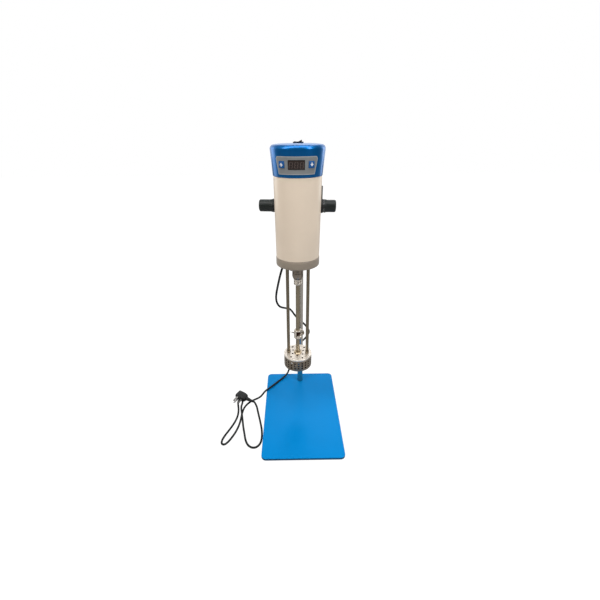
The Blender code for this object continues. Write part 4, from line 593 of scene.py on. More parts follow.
KNOB_Y = 0.034
KNOB_RADIUS = 0.0132
KNOB_SKIRT_RADIUS = 0.0150
KNOB_SKIRT_LENGTH = 0.0085
KNOB_START = 0.0562
KNOB_LENGTHS = (0.0326, 0.0262)
KNOB_DISH = 0.0004
STUD_HOLE_RADIUS = 0.0043
STUD_HOLE_DEPTH = 0.0183
for side, word, length in zip((-1, 1), ("left", "right"), KNOB_LENGTHS):
    to_side = Matrix.Rotation(math.radians(90) * side, 4, "Y")
    axis_low, axis_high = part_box(f"knob_{word}")
    end = KNOB_START + length
    flare = KNOB_SKIRT_RADIUS - KNOB_RADIUS
    skirt_outline = [(KNOB_RADIUS + flare * (step / 6) ** 2.2,
                      KNOB_START + KNOB_SKIRT_LENGTH * (1 - step / 6)) for step in range(7)]
    knob = lathe(f"knob_visual_{word}", [
        (0.0, end), (KNOB_RADIUS * 0.62, end), (KNOB_RADIUS * 0.66, end - KNOB_DISH),
        (KNOB_RADIUS - 0.0022, end - KNOB_DISH), (KNOB_RADIUS, end - 0.0026)]
        + skirt_outline + [(STUD_HOLE_RADIUS, KNOB_START),
                           (STUD_HOLE_RADIUS, KNOB_START + STUD_HOLE_DEPTH),
                           (0.0, KNOB_START + STUD_HOLE_DEPTH)],
        HEAD_MATRIX @ Matrix.Translation((0.0, KNOB_Y, (axis_low.z + axis_high.z) / 2))
        @ to_side, 0.0016)
    settle(knob, knob_black, f"{word}_knob", f"knob_{word}", slot="black_plastic")

# %% [markdown]
# ## Motor housing
#
# The housing is a plain tube that widens slightly upwards. What sells it is the edge: both
# rims are rolled a little, so a thin dark seam shows under the cap and above the collar. The
# cooling slots at the back repeat evenly, so Geometry Nodes sets them out: one slot cutter is
# copied along an arc, turned to face outwards, and the copies are made real before the cut.

# %% Slot cutters by Geometry Nodes
def node_group(name, sockets):
    group = bpy.data.node_groups.new(name, "GeometryNodeTree")
    group.interface.new_socket("Geometry", in_out="OUTPUT", socket_type="NodeSocketGeometry")
    made = {}
    for label, kind, value in sockets:
        item = group.interface.new_socket(label, in_out="INPUT", socket_type=kind)
        if value is not None:
            item.default_value = value
        made[label] = item.identifier
    return group, made


def wire(group, kind, settings=None, inputs=None):
    """Add a node, set its settings, and link or set its inputs."""
    node = group.nodes.new(kind)
    for key, value in (settings or {}).items():
        setattr(node, key, value)
    for key, value in (inputs or {}).items():
        if isinstance(value, bpy.types.NodeSocket):
            group.links.new(value, node.inputs[key])
        else:
            node.inputs[key].default_value = value
    return node


def ring_array(name):
    """A group that copies one object round the Z axis, in rows, facing outwards."""
    group, made = node_group(name, [
        ("Piece", "NodeSocketObject", None), ("Count", "NodeSocketInt", 24),
        ("Radius", "NodeSocketFloat", 0.03), ("Start", "NodeSocketFloat", 0.0),
        ("Step", "NodeSocketFloat", 0.1), ("Rows", "NodeSocketInt", 1),
        ("Pitch", "NodeSocketFloat", 0.01), ("Material", "NodeSocketMaterial", None)])
    given = group.nodes.new("NodeGroupInput").outputs
    total = wire(group, "ShaderNodeMath", {"operation": "MULTIPLY"},
                 {0: given["Count"], 1: given["Rows"]})
    line = wire(group, "GeometryNodeMeshLine", {}, {"Count": total.outputs[0]})
    index = wire(group, "GeometryNodeInputIndex")
    row = wire(group, "ShaderNodeMath", {"operation": "DIVIDE"},
               {0: index.outputs[0], 1: given["Count"]})
    row_number = wire(group, "ShaderNodeMath", {"operation": "FLOOR"}, {0: row.outputs[0]})
    turn = wire(group, "ShaderNodeMath", {"operation": "MULTIPLY_ADD"},
                {0: index.outputs[0], 1: given["Step"], 2: given["Start"]})
    cosine = wire(group, "ShaderNodeMath", {"operation": "COSINE"}, {0: turn.outputs[0]})
    sine = wire(group, "ShaderNodeMath", {"operation": "SINE"}, {0: turn.outputs[0]})
    across = wire(group, "ShaderNodeMath", {"operation": "MULTIPLY"},
                  {0: cosine.outputs[0], 1: given["Radius"]})
    along = wire(group, "ShaderNodeMath", {"operation": "MULTIPLY"},
                 {0: sine.outputs[0], 1: given["Radius"]})
    level = wire(group, "ShaderNodeMath", {"operation": "MULTIPLY"},
                 {0: row_number.outputs[0], 1: given["Pitch"]})
    spot = wire(group, "ShaderNodeCombineXYZ", {}, {
        "X": across.outputs[0], "Y": along.outputs[0], "Z": level.outputs[0]})
    placed = wire(group, "GeometryNodeSetPosition", {}, {
        "Geometry": line.outputs[0], "Position": spot.outputs[0]})
    facing = wire(group, "ShaderNodeCombineXYZ", {}, {"Z": turn.outputs[0]})
    piece = wire(group, "GeometryNodeObjectInfo", {}, {"Object": given["Piece"]})
    copies = wire(group, "GeometryNodeInstanceOnPoints", {}, {
        "Points": placed.outputs[0], "Instance": piece.outputs["Geometry"],
        "Rotation": facing.outputs[0]})
    real = wire(group, "GeometryNodeRealizeInstances", {}, {
        "Geometry": copies.outputs[0]})
    finished = wire(group, "GeometryNodeSetMaterial", {}, {
        "Geometry": real.outputs[0], "Material": given["Material"]})
    out = group.nodes.new("NodeGroupOutput")
    group.links.new(finished.outputs[0], out.inputs[0])
    return group, made


RING_ARRAY, RING_SOCKETS = ring_array("ring_array")


def copies_round(name, piece, matrix=None, **sizes):
    """Copies of a piece round the Z axis, as one plain mesh; the first piece is used up."""
    holder = mesh_object(name, [(0.0, 0.0, 0.0)], [])
    step = holder.modifiers.new("Copies", "NODES")
    step.node_group = RING_ARRAY
    step[RING_SOCKETS["Piece"]] = piece
    for label, value in sizes.items():
        step[RING_SOCKETS[label]] = value
    bpy.context.view_layer.update()
    applied(holder)
    bpy.data.objects.remove(piece, do_unlink=True)
    if matrix is not None:
        holder.data.transform(matrix)
    return holder


# %% Housing, collar and what shows inside
VENT_COUNT = 7
VENT_STEP = math.radians(11)
VENT_WIDTH = 0.0042
VENT_HEIGHT = 0.042
VENT_RAISE = 0.046
_, top_radius, low_z, high_z = turned_place("motor_housing")
low_radius = top_radius - 0.0013
inner_radius = 0.0452
housing = lathe("housing_visual", [
    (inner_radius, high_z), (top_radius, high_z), (low_radius, low_z),
    (inner_radius, low_z)], None, 0.0009, FINE_TURN_STEPS, closed=True)
slot_outline = rounded_rectangle(VENT_HEIGHT, VENT_WIDTH, VENT_WIDTH * 0.49, 6)
slot_cut = extruded("slot_cut", slot_outline, -0.006, 0.006,
                    Matrix.Rotation(math.radians(90), 4, "Y"))
slots = copies_round("slot_cuts", slot_cut, Matrix.Translation((0.0, 0.0, low_z + VENT_RAISE)),
                     Count=VENT_COUNT, Radius=0.0475, Step=VENT_STEP,
                     Start=math.radians(90) - VENT_STEP * (VENT_COUNT - 1) / 2)
carve(housing, [slots])
housing.data.transform(HEAD_MATRIX)
settle(housing, cream_paint, "head", "motor_housing", slot="housing_paint")

_, radius, low_z, high_z = turned_place("end_collar")
collar = lathe("collar_visual", [
    (radius - 0.006, high_z), (radius, high_z), (radius, low_z), (0.0075, low_z),
    (0.0075, low_z + 0.0075), (radius - 0.006, low_z + 0.0075)],
    HEAD_MATRIX, 0.0024, FINE_TURN_STEPS, closed=True)
settle(collar, collar_paint, "head", "end_collar", slot="collar_paint")

for node in ("motor_core", "armature", "end_bell", "motor_shaft"):
    dress(node, core_steel)
for node in ("bearing_upper", "bearing_lower", "rod_nut_left", "rod_nut_right",
             "collar_screw_1", "collar_screw_2", "collar_screw_3"):
    dress(node, screw_steel)
for node in ("coil_upper", "coil_lower"):
    dress(node, copper)
dress("fan", plastic_black)
dress("display_module", plastic_black)
dress("control_board", board_green)

# %% [markdown]
# ## Control cap
#
# The cap flares outwards to its top, turns over in a full, even rim, and is crowned a
# little. The outline is the one that a press tool would have, and openings are cut through
# it for the display, the two buttons and the switch.

# %% Cap
CAP_SKIRT = 0.006
CAP_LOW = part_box("control_cap")[0].z + CAP_SKIRT
CAP_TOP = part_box("control_cap")[1].z
CAP_LOW_RADIUS = 0.0505
CAP_HIGH_RADIUS = 0.0551
CAP_RIM = 0.008
CAP_CROWN = 0.0018          # how far the top falls from its middle to the rim
CROWN_POWER = 5             # flat where the switch sits, and falling near the rim
CROWN_STEPS = 12
CAP_WALL = 0.003
PANEL_MIDDLE = math.radians(1.5)
WINDOW_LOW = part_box("display_window")[0].z
WINDOW_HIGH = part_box("display_window")[1].z
WINDOW_HALF_WIDTH = 0.0159
BUTTON_Z = (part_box("button_up")[0].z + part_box("button_up")[1].z) / 2
BUTTON_SIZE = 0.0120
BUTTON_ANGLE = math.radians(31.5)
BUTTON_PROUD = 0.0016
PANEL_THICKNESS = 0.0011
SWITCH_Y = 0.020
SWITCH_OPENING = (0.0189, 0.0124, 0.010)

rim_top = CAP_TOP - CAP_CROWN
crown = [((CAP_HIGH_RADIUS - CAP_RIM) * step / CROWN_STEPS,
          CAP_TOP - CAP_CROWN * (step / CROWN_STEPS) ** CROWN_POWER)
         for step in range(CROWN_STEPS)]
rim = [(CAP_HIGH_RADIUS - CAP_RIM + CAP_RIM * math.cos(math.radians(angle)),
        rim_top - CAP_RIM + CAP_RIM * math.sin(math.radians(angle)))
       for angle in range(84, -1, -6)]
outline = crown + rim + [
    (CAP_LOW_RADIUS, CAP_LOW + 0.0010), (CAP_LOW_RADIUS - 0.0010, CAP_LOW),
    (0.0450, CAP_LOW), (0.0450, CAP_LOW - 0.006), (0.0430, CAP_LOW - 0.006),
    (0.0430, CAP_LOW + CAP_WALL), (CAP_LOW_RADIUS - CAP_WALL, CAP_LOW + 2 * CAP_WALL),
    (CAP_HIGH_RADIUS - CAP_WALL, rim_top - CAP_RIM),
    (CAP_HIGH_RADIUS - CAP_RIM, rim_top - CAP_WALL), (0.0, CAP_TOP - CAP_WALL - 0.001)]
cap = lathe("cap_visual", outline, None, 0.0, FINE_TURN_STEPS)


def cap_radius_at(level):
    share = (level - CAP_LOW) / (CAP_TOP - CAP_RIM - CAP_LOW)
    return CAP_LOW_RADIUS + (CAP_HIGH_RADIUS - CAP_LOW_RADIUS) * share


def button_matrix(side, out=0.0):
    """A frame whose -Y looks out of the cap, with its origin on a button's face."""
    angle = PANEL_MIDDLE + side * BUTTON_ANGLE
    radius = cap_radius_at(BUTTON_Z) + PANEL_THICKNESS + TOUCH_GAP + BUTTON_PROUD + out
    return (Matrix.Rotation(angle, 4, "Z")
            @ Matrix.Translation((0.0, -radius, BUTTON_Z)))


def window_block(name, grow=TOUCH_GAP):
    size = (2 * (WINDOW_HALF_WIDTH + grow), CAP_HIGH_RADIUS,
            WINDOW_HIGH - WINDOW_LOW + 2 * grow)
    return block(name, size, (0.0, -CAP_HIGH_RADIUS, (WINDOW_LOW + WINDOW_HIGH) / 2),
                 Matrix.Rotation(PANEL_MIDDLE, 4, "Z"))


def button_block(name, side, grow=TOUCH_GAP, deep=0.014):
    size = BUTTON_SIZE + 2 * grow
    return block(name, (size, deep, size), (0.0, deep / 2 - 0.003, 0.0), button_matrix(side))


switch_cut = block("switch_cut", SWITCH_OPENING, (0.0, SWITCH_Y, CAP_TOP))
carve(cap, [window_block("window_cut"), button_block("button_cut_up", -1),
            button_block("button_cut_down", 1), switch_cut])
cap.data.transform(HEAD_MATRIX)
settle(cap, cap_paint, "head", "control_cap", slot="cap_paint")

# %% [markdown]
# ## Panel, display and buttons
#
# The panel is a printed sheet that wraps the cap's front. Its two narrowing sides and clipped
# upper corners are drawn flat, as distance along the arc against height, and then laid on
# the cone. Each point's distance from the sheet's edge is kept as an attribute, so the print's
# lighter border can follow the edge exactly.

# %% Patches that follow the cap
PANEL_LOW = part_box("panel")[0].z
PANEL_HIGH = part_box("panel")[1].z
PANEL_HALF_TOP = math.radians(47)
PANEL_HALF_LOW = math.radians(41)
PANEL_STEPS = 96
PANEL_ROWS = 20
CLIP_SHARE = 0.075
CLIP_DROP = 0.0042


def cap_patch(name, low, high, half_low, half_high, offset, thickness, columns, rows,
              clip_share=0.0, clip_drop=0.0):
    """A thin sheet on the cap, with the attribute edge_distance for its print."""
    verts = []
    marks = []
    for column in range(columns + 1):
        across = 2 * column / columns - 1
        top = high
        if clip_share > 0.0 and abs(across) > 1 - clip_share:
            top = high - clip_drop * (abs(across) - 1 + clip_share) / clip_share
        for row in range(rows + 1):
            share = row / rows
            level = low + (top - low) * share
            half = half_low + (half_high - half_low) * (level - low) / (high - low)
            angle = PANEL_MIDDLE + across * half
            for out in (offset, offset + thickness):
                radius = cap_radius_at(level) + out
                verts.append((radius * math.sin(angle), -radius * math.cos(angle), level))
                side = (1 - abs(across)) * half * radius
                marks.append(min(side, level - low, top - level,
                                 side * 0.7 + (high - level) * 0.7 - clip_drop * 0.7
                                 if clip_share > 0.0 else side))
    faces = []
    tall = (rows + 1) * 2

    def spot(column, row, face):
        return column * tall + row * 2 + face

    for column in range(columns):
        for row in range(rows):
            for face, order in ((1, 1), (0, -1)):
                quad = (spot(column, row, face), spot(column + 1, row, face),
                        spot(column + 1, row + 1, face), spot(column, row + 1, face))
                faces.append(quad[::order])
        for row in (0, rows):
            faces.append((spot(column, row, 0), spot(column + 1, row, 0),
                          spot(column + 1, row, 1), spot(column, row, 1)))
    for column in (0, columns):
        for row in range(rows):
            faces.append((spot(column, row, 0), spot(column, row + 1, 0),
                          spot(column, row + 1, 1), spot(column, row, 1)))
    mesh = bpy.data.meshes.new(name)
    mesh.from_pydata(verts, [], faces)
    mark = mesh.attributes.new("edge_distance", "FLOAT", "POINT")
    mark.data.foreach_set("value", marks)
    obj = bpy.data.objects.new(name, mesh)
    bpy.context.scene.collection.objects.link(obj)
    shape = bmesh.new()
    shape.from_mesh(mesh)
    bmesh.ops.recalc_face_normals(shape, faces=shape.faces)
    shape.to_mesh(mesh)
    shape.free()
    return obj


def panel_finish():
    """Grey print with a lighter line that runs a set distance inside the edge."""
    s = Shade("panel_print")
    edge = s.add("ShaderNodeAttribute", {"attribute_name": "edge_distance"}, output="Fac")
    line = edge.above(0.0004, 0.0002) * (1.0 - edge.above(0.0013, 0.0003))
    grain = s.noise(1900.0, 3.0)
    ground = s.blend(s.noise(60.0, 3.0), (0.235, 0.250, 0.260), (0.285, 0.300, 0.310))
    s.set(Base_Color=s.blend(line, ground, (0.50, 0.53, 0.54)),
          Roughness=0.34 + grain * 0.12, Metallic=0.15,
          Normal=s.bump(grain, 0.2, 0.00002))
    return s.done()


def window_finish():
    s = Shade("display_window_smoke")
    haze = s.noise(70.0, 3.0)
    s.set(Base_Color=s.blend(haze, (0.020, 0.013, 0.011), (0.030, 0.019, 0.016)),
          Roughness=0.10 + haze * 0.06, Coat_Weight=0.2)
    return s.done()


def digit_finish():
    s = Shade("unlit_segments")
    s.set(Base_Color=s.blend(s.noise(400.0, 2.0), (0.110, 0.080, 0.074),
                             (0.135, 0.100, 0.092)), Roughness=0.25)
    return s.done()


# %% Panel and window
panel = cap_patch("panel_visual", PANEL_LOW, PANEL_HIGH, PANEL_HALF_LOW, PANEL_HALF_TOP,
                  TOUCH_GAP, PANEL_THICKNESS, PANEL_STEPS, PANEL_ROWS, CLIP_SHARE, CLIP_DROP)
carve(panel, [window_block("panel_window_cut"), button_block("panel_cut_up", -1),
              button_block("panel_cut_down", 1)])
panel.data.transform(HEAD_MATRIX)
settle(panel, panel_finish(), "head", "panel", slot="membrane")

window = cap_patch("window_visual", WINDOW_LOW, WINDOW_HIGH, math.radians(17.9),
                   math.radians(17.9), PANEL_THICKNESS + TOUCH_GAP + 0.0004 - 0.0020, 0.0020,
                   48, 8)
carve(window, [window_block("window_trim", 0.0)], "INTERSECT")
window.data.transform(HEAD_MATRIX)
settle(window, window_finish(), "head", "display_window", slot="window")

# %% [markdown]
# The display is dark, and its three unlit digits just show through. Each segment is a slim
# hexagon laid on the window's surface, a twentieth of a millimetre proud.

# %% Digits
DIGIT_HEIGHT = 0.0096
DIGIT_DROP = 0.0006
DIGIT_WIDTH = 0.0060
DIGIT_PITCH = 0.0104
DIGIT_LEAN = 0.09
SEGMENT_WIDTH = 0.0010
SEGMENT_PROUD = 0.00005
window_radius = cap_radius_at((WINDOW_LOW + WINDOW_HIGH) / 2) + PANEL_THICKNESS + TOUCH_GAP
window_radius += 0.0004


def segment_outline(start, end):
    """A slim hexagon between two points."""
    start = Vector(start)
    end = Vector(end)
    along = (end - start).normalized()
    side = Vector((-along.y, along.x)) * SEGMENT_WIDTH / 2
    inset = along * SEGMENT_WIDTH * 0.62
    point = along * SEGMENT_WIDTH * 0.12
    return [start + point, start + inset - side, end - inset - side, end - point,
            end - inset + side, start + inset + side]


half_w = DIGIT_WIDTH / 2
half_h = DIGIT_HEIGHT / 2
strokes = [((-half_w, half_h), (half_w, half_h)), ((-half_w, 0.0), (half_w, 0.0)),
           ((-half_w, -half_h), (half_w, -half_h)), ((-half_w, 0.0), (-half_w, half_h)),
           ((half_w, 0.0), (half_w, half_h)), ((-half_w, -half_h), (-half_w, 0.0)),
           ((half_w, -half_h), (half_w, 0.0))]
verts = []
faces = []
for digit in (-1, 0, 1):
    for start, end in strokes:
        shape = segment_outline(start, end)
        first = len(verts)
        for out in (SEGMENT_PROUD, -4 * SEGMENT_PROUD):
            for point in shape:
                x = digit * DIGIT_PITCH + point.x + point.y * DIGIT_LEAN
                level = (WINDOW_LOW + WINDOW_HIGH) / 2 + point.y - DIGIT_DROP
                rise = cap_radius_at(level) - cap_radius_at((WINDOW_LOW + WINDOW_HIGH) / 2)
                radius = window_radius + rise + out
                angle = PANEL_MIDDLE + x / radius
                verts.append((radius * math.sin(angle), -radius * math.cos(angle), level))
        faces.append(tuple(range(first, first + 6)))
        faces.append(tuple(range(first + 11, first + 5, -1)))
        faces += [(first + index, first + (index + 1) % 6, first + 6 + (index + 1) % 6,
                   first + 6 + index) for index in range(6)]
digits = mesh_object("display_segments", verts, faces, HEAD_MATRIX)
settle(digits, digit_finish(), "head", slot="window")

# %% Buttons with printed arrows
ARROW = [(0.0, 0.0034), (0.0037, -0.0012), (0.0012, -0.0012), (0.0012, -0.0034),
         (-0.0012, -0.0034), (-0.0012, -0.0012), (-0.0037, -0.0012)]
for side, word, flip in ((-1, "up", 1), (1, "down", -1)):
    button = block(f"button_visual_{word}", (BUTTON_SIZE, 0.0062, BUTTON_SIZE),
                   (0.0, 0.0031, 0.0))
    soft_edges(button, 0.0009, 4)
    button.data.transform(HEAD_MATRIX @ button_matrix(side))
    settle(button, button_blue, f"speed_{word}", f"button_{word}", slot="button_plastic")
    shape = [(x, y * flip) for x, y in ARROW][::flip]
    arrow = extruded(f"arrow_{word}", shape, -0.0002, 0.00006,
                     HEAD_MATRIX @ button_matrix(side)
                     @ Matrix.Rotation(math.radians(90), 4, "X"))
    settle(arrow, print_white, f"speed_{word}", slot="button_plastic")

# %% [markdown]
# ## Rocker switch
#
# A rocker reads as one because its top is a shallow valley, with one end up. The profile is
# drawn from the side and given depth, and the frame round it has a soft outer edge.

# %% Switch
FRAME_LOW = CAP_TOP + TOUCH_GAP
FRAME_HEIGHT = 0.0018
SWITCH_WIDTH = 0.0215
SWITCH_DEPTH = 0.0150
switch = extruded("switch_frame_visual", rounded_rectangle(SWITCH_WIDTH, SWITCH_DEPTH,
                                                           0.0016, 5),
                  FRAME_LOW, FRAME_LOW + FRAME_HEIGHT,
                  Matrix.Translation((0.0, SWITCH_Y, 0.0)))
skirt = block("switch_skirt", (0.0183, 0.0118, 0.0110),
              (0.0, SWITCH_Y, FRAME_LOW - 0.0055 + 0.0009))
room = block("switch_room", (0.0167, 0.0102, 0.0130),
             (0.0, SWITCH_Y, FRAME_LOW + FRAME_HEIGHT + 0.0005 - 0.0055))
carve(switch, [skirt], "UNION")
carve(switch, [room])
soft_edges(switch, 0.0004, 3)
switch.data.transform(HEAD_MATRIX)
settle(switch, switch_black, "head", "switch_frame", slot="switch_plastic")

ROCKER_HALF = 0.00765
ROCKER_TILT = math.radians(11)
ROCKER_MIDDLE = 0.0012      # height of the top above the pivot in the middle
ROCKER_WING = 0.0021        # how much higher the ends are
profile = []
for step in range(13):
    across = step / 6 - 1
    profile.append((ROCKER_HALF * across, ROCKER_MIDDLE + ROCKER_WING * abs(across) ** 1.4))
profile += [(ROCKER_HALF * 0.98, 0.0), (ROCKER_HALF * 0.55, -0.0062),
            (-ROCKER_HALF * 0.55, -0.0062), (-ROCKER_HALF * 0.98, 0.0)]
rocker = extruded("rocker_visual", profile, -0.0048, 0.0048,
                  Matrix.Rotation(math.radians(90), 4, "X"))
soft_edges(rocker, 0.00035, 3, math.radians(28))
rocker.data.transform(HEAD_MATRIX @ Matrix.Translation((0.0, SWITCH_Y, FRAME_LOW
                                                        + FRAME_HEIGHT / 2))
                      @ Matrix.Rotation(-ROCKER_TILT, 4, "Y"))
settle(rocker, switch_black, "power_rocker", "rocker", slot="switch_plastic")

# %% [markdown]
# ## Rods, shaft and coupling
#
# The rods are slim ground bars that shoulder down onto the stator plate. Below the motor the
# nose carries the seal, and the coupling joins the motor's shaft to the tool's. The coupling
# has a groove between two bands and a pair of small set screws.

# %% Rods and nose
for word in ("left", "right"):
    place, radius, _, top_z = turned_place(f"rod_{word}")
    shoulder = turned_place("stator_plate")[3] + TOUCH_GAP
    rod = lathe(f"rod_visual_{word}", [
        (0.0, top_z), (radius, top_z), (radius, shoulder + 0.0085),
        (radius + 0.0009, shoulder + 0.0065), (radius + 0.0009, shoulder),
        (0.0, shoulder)], at(place), 0.0007)
    settle(rod, rod_steel, "head", f"rod_{word}", slot="polished_steel")

place, radius, low_z, high_z = turned_place("bearing_nose")
nose_radius = 0.0130
NOSE_BANDS = 3
BAND_PITCH = 0.0042
BAND_GAP = 0.0012
nose_outline = [(0.0068, high_z), (radius, high_z), (radius, high_z - 0.003),
                (nose_radius, high_z - 0.003)]
for band in range(NOSE_BANDS):
    edge = low_z + 0.0240 - band * BAND_PITCH
    nose_outline += [(nose_radius, edge), (nose_radius - 0.0011, edge - 0.0004),
                     (nose_radius - 0.0011, edge - BAND_GAP),
                     (nose_radius, edge - BAND_GAP - 0.0004)]
nose_outline += [(nose_radius, low_z + 0.0062), (nose_radius - 0.0022, low_z), (0.0068, low_z)]
nose = lathe("nose_visual", nose_outline, HEAD_MATRIX, 0.0004, closed=True)
settle(nose, dark_steel, "head", "bearing_nose", slot="plain_steel")

# %% Shaft and coupling
place, radius, low_z, high_z = turned_place("drive_shaft")
shaft = lathe("shaft_visual", disc_outline(0.0050, low_z, high_z), HEAD_MATRIX, 0.0006)
settle(shaft, shaft_steel, "spindle", "drive_shaft", slot="polished_steel")

place, radius, low_z, high_z = turned_place("coupling")
coupling = lathe("coupling_visual", [
    (0.0050, high_z), (radius, high_z), (radius, high_z - 0.0034),
    (radius - 0.0008, high_z - 0.0038), (radius - 0.0008, high_z - 0.0050),
    (radius, high_z - 0.0054), (radius, low_z + 0.0054), (radius - 0.0008, low_z + 0.0050),
    (radius - 0.0008, low_z + 0.0038), (radius, low_z + 0.0034), (radius, low_z),
    (0.0052, low_z)], HEAD_MATRIX, 0.0004, closed=True)
settle(coupling, bright_steel, "spindle", "coupling", slot="polished_steel")
GRUB_RADIUS = 0.0017
for number, turn in enumerate((-70, 110), start=1):
    grub = lathe(f"grub_screw_{number}", [
        (0.0, 0.0088), (GRUB_RADIUS * 0.5, 0.0088), (GRUB_RADIUS * 0.55, 0.00965),
        (GRUB_RADIUS, 0.00965), (GRUB_RADIUS, 0.0070), (0.0, 0.0070)],
        HEAD_MATRIX @ Matrix.Translation((0.0, 0.0, (low_z + high_z) / 2))
        @ Matrix.Rotation(math.radians(turn), 4, "Z")
        @ Matrix.Rotation(math.radians(90), 4, "Y"), 0.0002, 32)
    settle(grub, dark_steel, "spindle", slot="plain_steel")

# %% [markdown]
# ## Propeller
#
# A small three-bladed propeller sits above the stator. Each blade is a surface that twists
# from a steep root to a flatter tip and has a rounded leading corner. It is built as a grid
# of points with a little thickness, then joined to the hub.

# %% Propeller
_, _, low_z, high_z = turned_place("propeller")
prop_middle = (low_z + high_z) / 2
HUB_RADIUS = 0.0095
HUB_HALF = 0.0125
hub_low = prop_middle - HUB_HALF
hub_high = prop_middle + HUB_HALF
BLADE_TIP = 0.0194
ROOT_PITCH = math.radians(50)
TIP_PITCH = math.radians(34)
hub = lathe("propeller_visual", [
    (0.0051, hub_high), (0.0082, hub_high), (HUB_RADIUS, hub_high - 0.0024),
    (HUB_RADIUS, hub_low + 0.0016), (0.0082, hub_low), (0.0051, hub_low)], None, 0.0007,
    closed=True)


def propeller_blade(name, turn):
    verts = []
    faces = []
    spans = 14
    chords = 12
    for face in (1, -1):
        for span in range(spans + 1):
            out = span / spans
            radius = HUB_RADIUS * 0.8 + (BLADE_TIP - HUB_RADIUS * 0.8) * out
            pitch = ROOT_PITCH + (TIP_PITCH - ROOT_PITCH) * out
            width = 0.0088 * (1 - 0.55 * max(0.0, out - 0.55) ** 2 / 0.2)
            for chord in range(chords + 1):
                across = 2 * chord / chords - 1
                camber = 0.0010 * (1 - across * across)
                thick = 0.0008 * (1 - 0.75 * across * across) * (1 - 0.35 * out)
                u = width * across
                w = camber + face * thick
                verts.append((radius, u * math.cos(pitch) - w * math.sin(pitch),
                              u * math.sin(pitch) + w * math.cos(pitch)))
    sheet = (spans + 1) * (chords + 1)
    for span in range(spans):
        for chord in range(chords):
            a = span * (chords + 1) + chord
            quad = (a, a + chords + 1, a + chords + 2, a + 1)
            faces.append(quad)
            faces.append(tuple(sheet + v for v in quad[::-1]))
    rim = [chord for chord in range(chords + 1)]
    rim += [(span + 1) * (chords + 1) + chords for span in range(spans)]
    rim += [spans * (chords + 1) + chord for chord in range(chords - 1, -1, -1)]
    rim += [span * (chords + 1) for span in range(spans - 1, 0, -1)]
    for here, after in zip(rim, rim[1:] + rim[:1]):
        faces.append((here, after, sheet + after, sheet + here))
    return mesh_object(name, verts, faces, Matrix.Translation((0.0, 0.0, prop_middle))
                       @ Matrix.Rotation(turn, 4, "Z"))


blades = [propeller_blade(f"propeller_blade_{number}",
                          math.radians(-75) + math.tau * number / 3) for number in range(3)]
carve(hub, blades, "UNION")
HUB_SHADE_BAND_TOP = 0.005        # the band of painted shade round the hub starts this far below its top
# Painted shade: the hub's undersides and a band round it below its top take the dark brown.
mark_faces(hub, "painted_shade", lambda middle, normal: normal.z < -0.2 or (
    middle.xy.length < HUB_RADIUS + 0.0002
    and prop_middle < middle.z < hub_high - HUB_SHADE_BAND_TOP))
hub.data.transform(HEAD_MATRIX)
settle(hub, bright_steel, "spindle", "propeller", slot="polished_steel")

# %% [markdown]
# ## Stator and rotor
#
# This is the piece that takes the most care. The ring's wall is pierced by three rows of
# round holes, so the same Geometry Nodes group that set out the slots now sets out
# seventy-two drills. The bores are cut into a finely turned ring, and the lid gets its two
# circles of holes in the same way. The ring's inside, its hole walls and the lid's underside
# take a dark brown painted shade. The bladed rotor inside is painted dark as shade, so it
# shows dark through the holes.

# %% Stator ring
STATOR_WALL = 0.0026
INTAKE_RADIUS = 0.0175
RING_FLOOR = 0.0022
WALL_HOLE_RADIUS = 0.0025
WALL_HOLE_COUNT = 24
WALL_HOLE_ROWS = 3
WALL_HOLE_PITCH = 0.0075
_, STATOR_RADIUS, low_z, high_z = turned_place("stator_ring")
ring_inner = STATOR_RADIUS - STATOR_WALL
ring = lathe("stator_ring_visual", [
    (ring_inner - 0.003, high_z), (STATOR_RADIUS, high_z), (STATOR_RADIUS, low_z),
    (INTAKE_RADIUS, low_z), (INTAKE_RADIUS, low_z + RING_FLOOR),
    (ring_inner, low_z + RING_FLOOR), (ring_inner, high_z - 0.0025),
    (ring_inner - 0.003, high_z - 0.0025)],
    None, 0.0006, 240, closed=True)
drill = lathe("wall_drill", disc_outline(WALL_HOLE_RADIUS, -0.006, 0.006),
              Matrix.Rotation(math.radians(90), 4, "Y"), 0.0, 26)
drills = copies_round("wall_drills", drill,
                      Matrix.Translation((0.0, 0.0, low_z + 0.009)),
                      Count=WALL_HOLE_COUNT, Rows=WALL_HOLE_ROWS, Pitch=WALL_HOLE_PITCH,
                      Radius=STATOR_RADIUS, Step=math.tau / WALL_HOLE_COUNT,
                      Start=math.tau / WALL_HOLE_COUNT / 2)
carve(ring, [drills])
# Painted shade: the ring's inside and its hole walls take the dark brown.
mark_faces(ring, "painted_shade", lambda middle, normal: middle.xy.length < STATOR_RADIUS - 0.0005)
ring.data.transform(HEAD_MATRIX)
settle(ring, stator_steel, "head", "stator_ring", slot="polished_steel")

# %% Stator lid, bush and rotor
_, _, low_z, high_z = turned_place("stator_plate")
lid = lathe("stator_lid_visual", disc_outline(STATOR_RADIUS, low_z, high_z), None, 0.0012,
            240)


def drills_round(name, radius, circle, count, start, step):
    bit = lathe(name + "_bit", disc_outline(radius, low_z - 0.002, high_z + 0.002), None,
                0.0, 36)
    return copies_round(name, bit, Count=count, Radius=circle, Start=math.radians(start),
                        Step=math.radians(step))


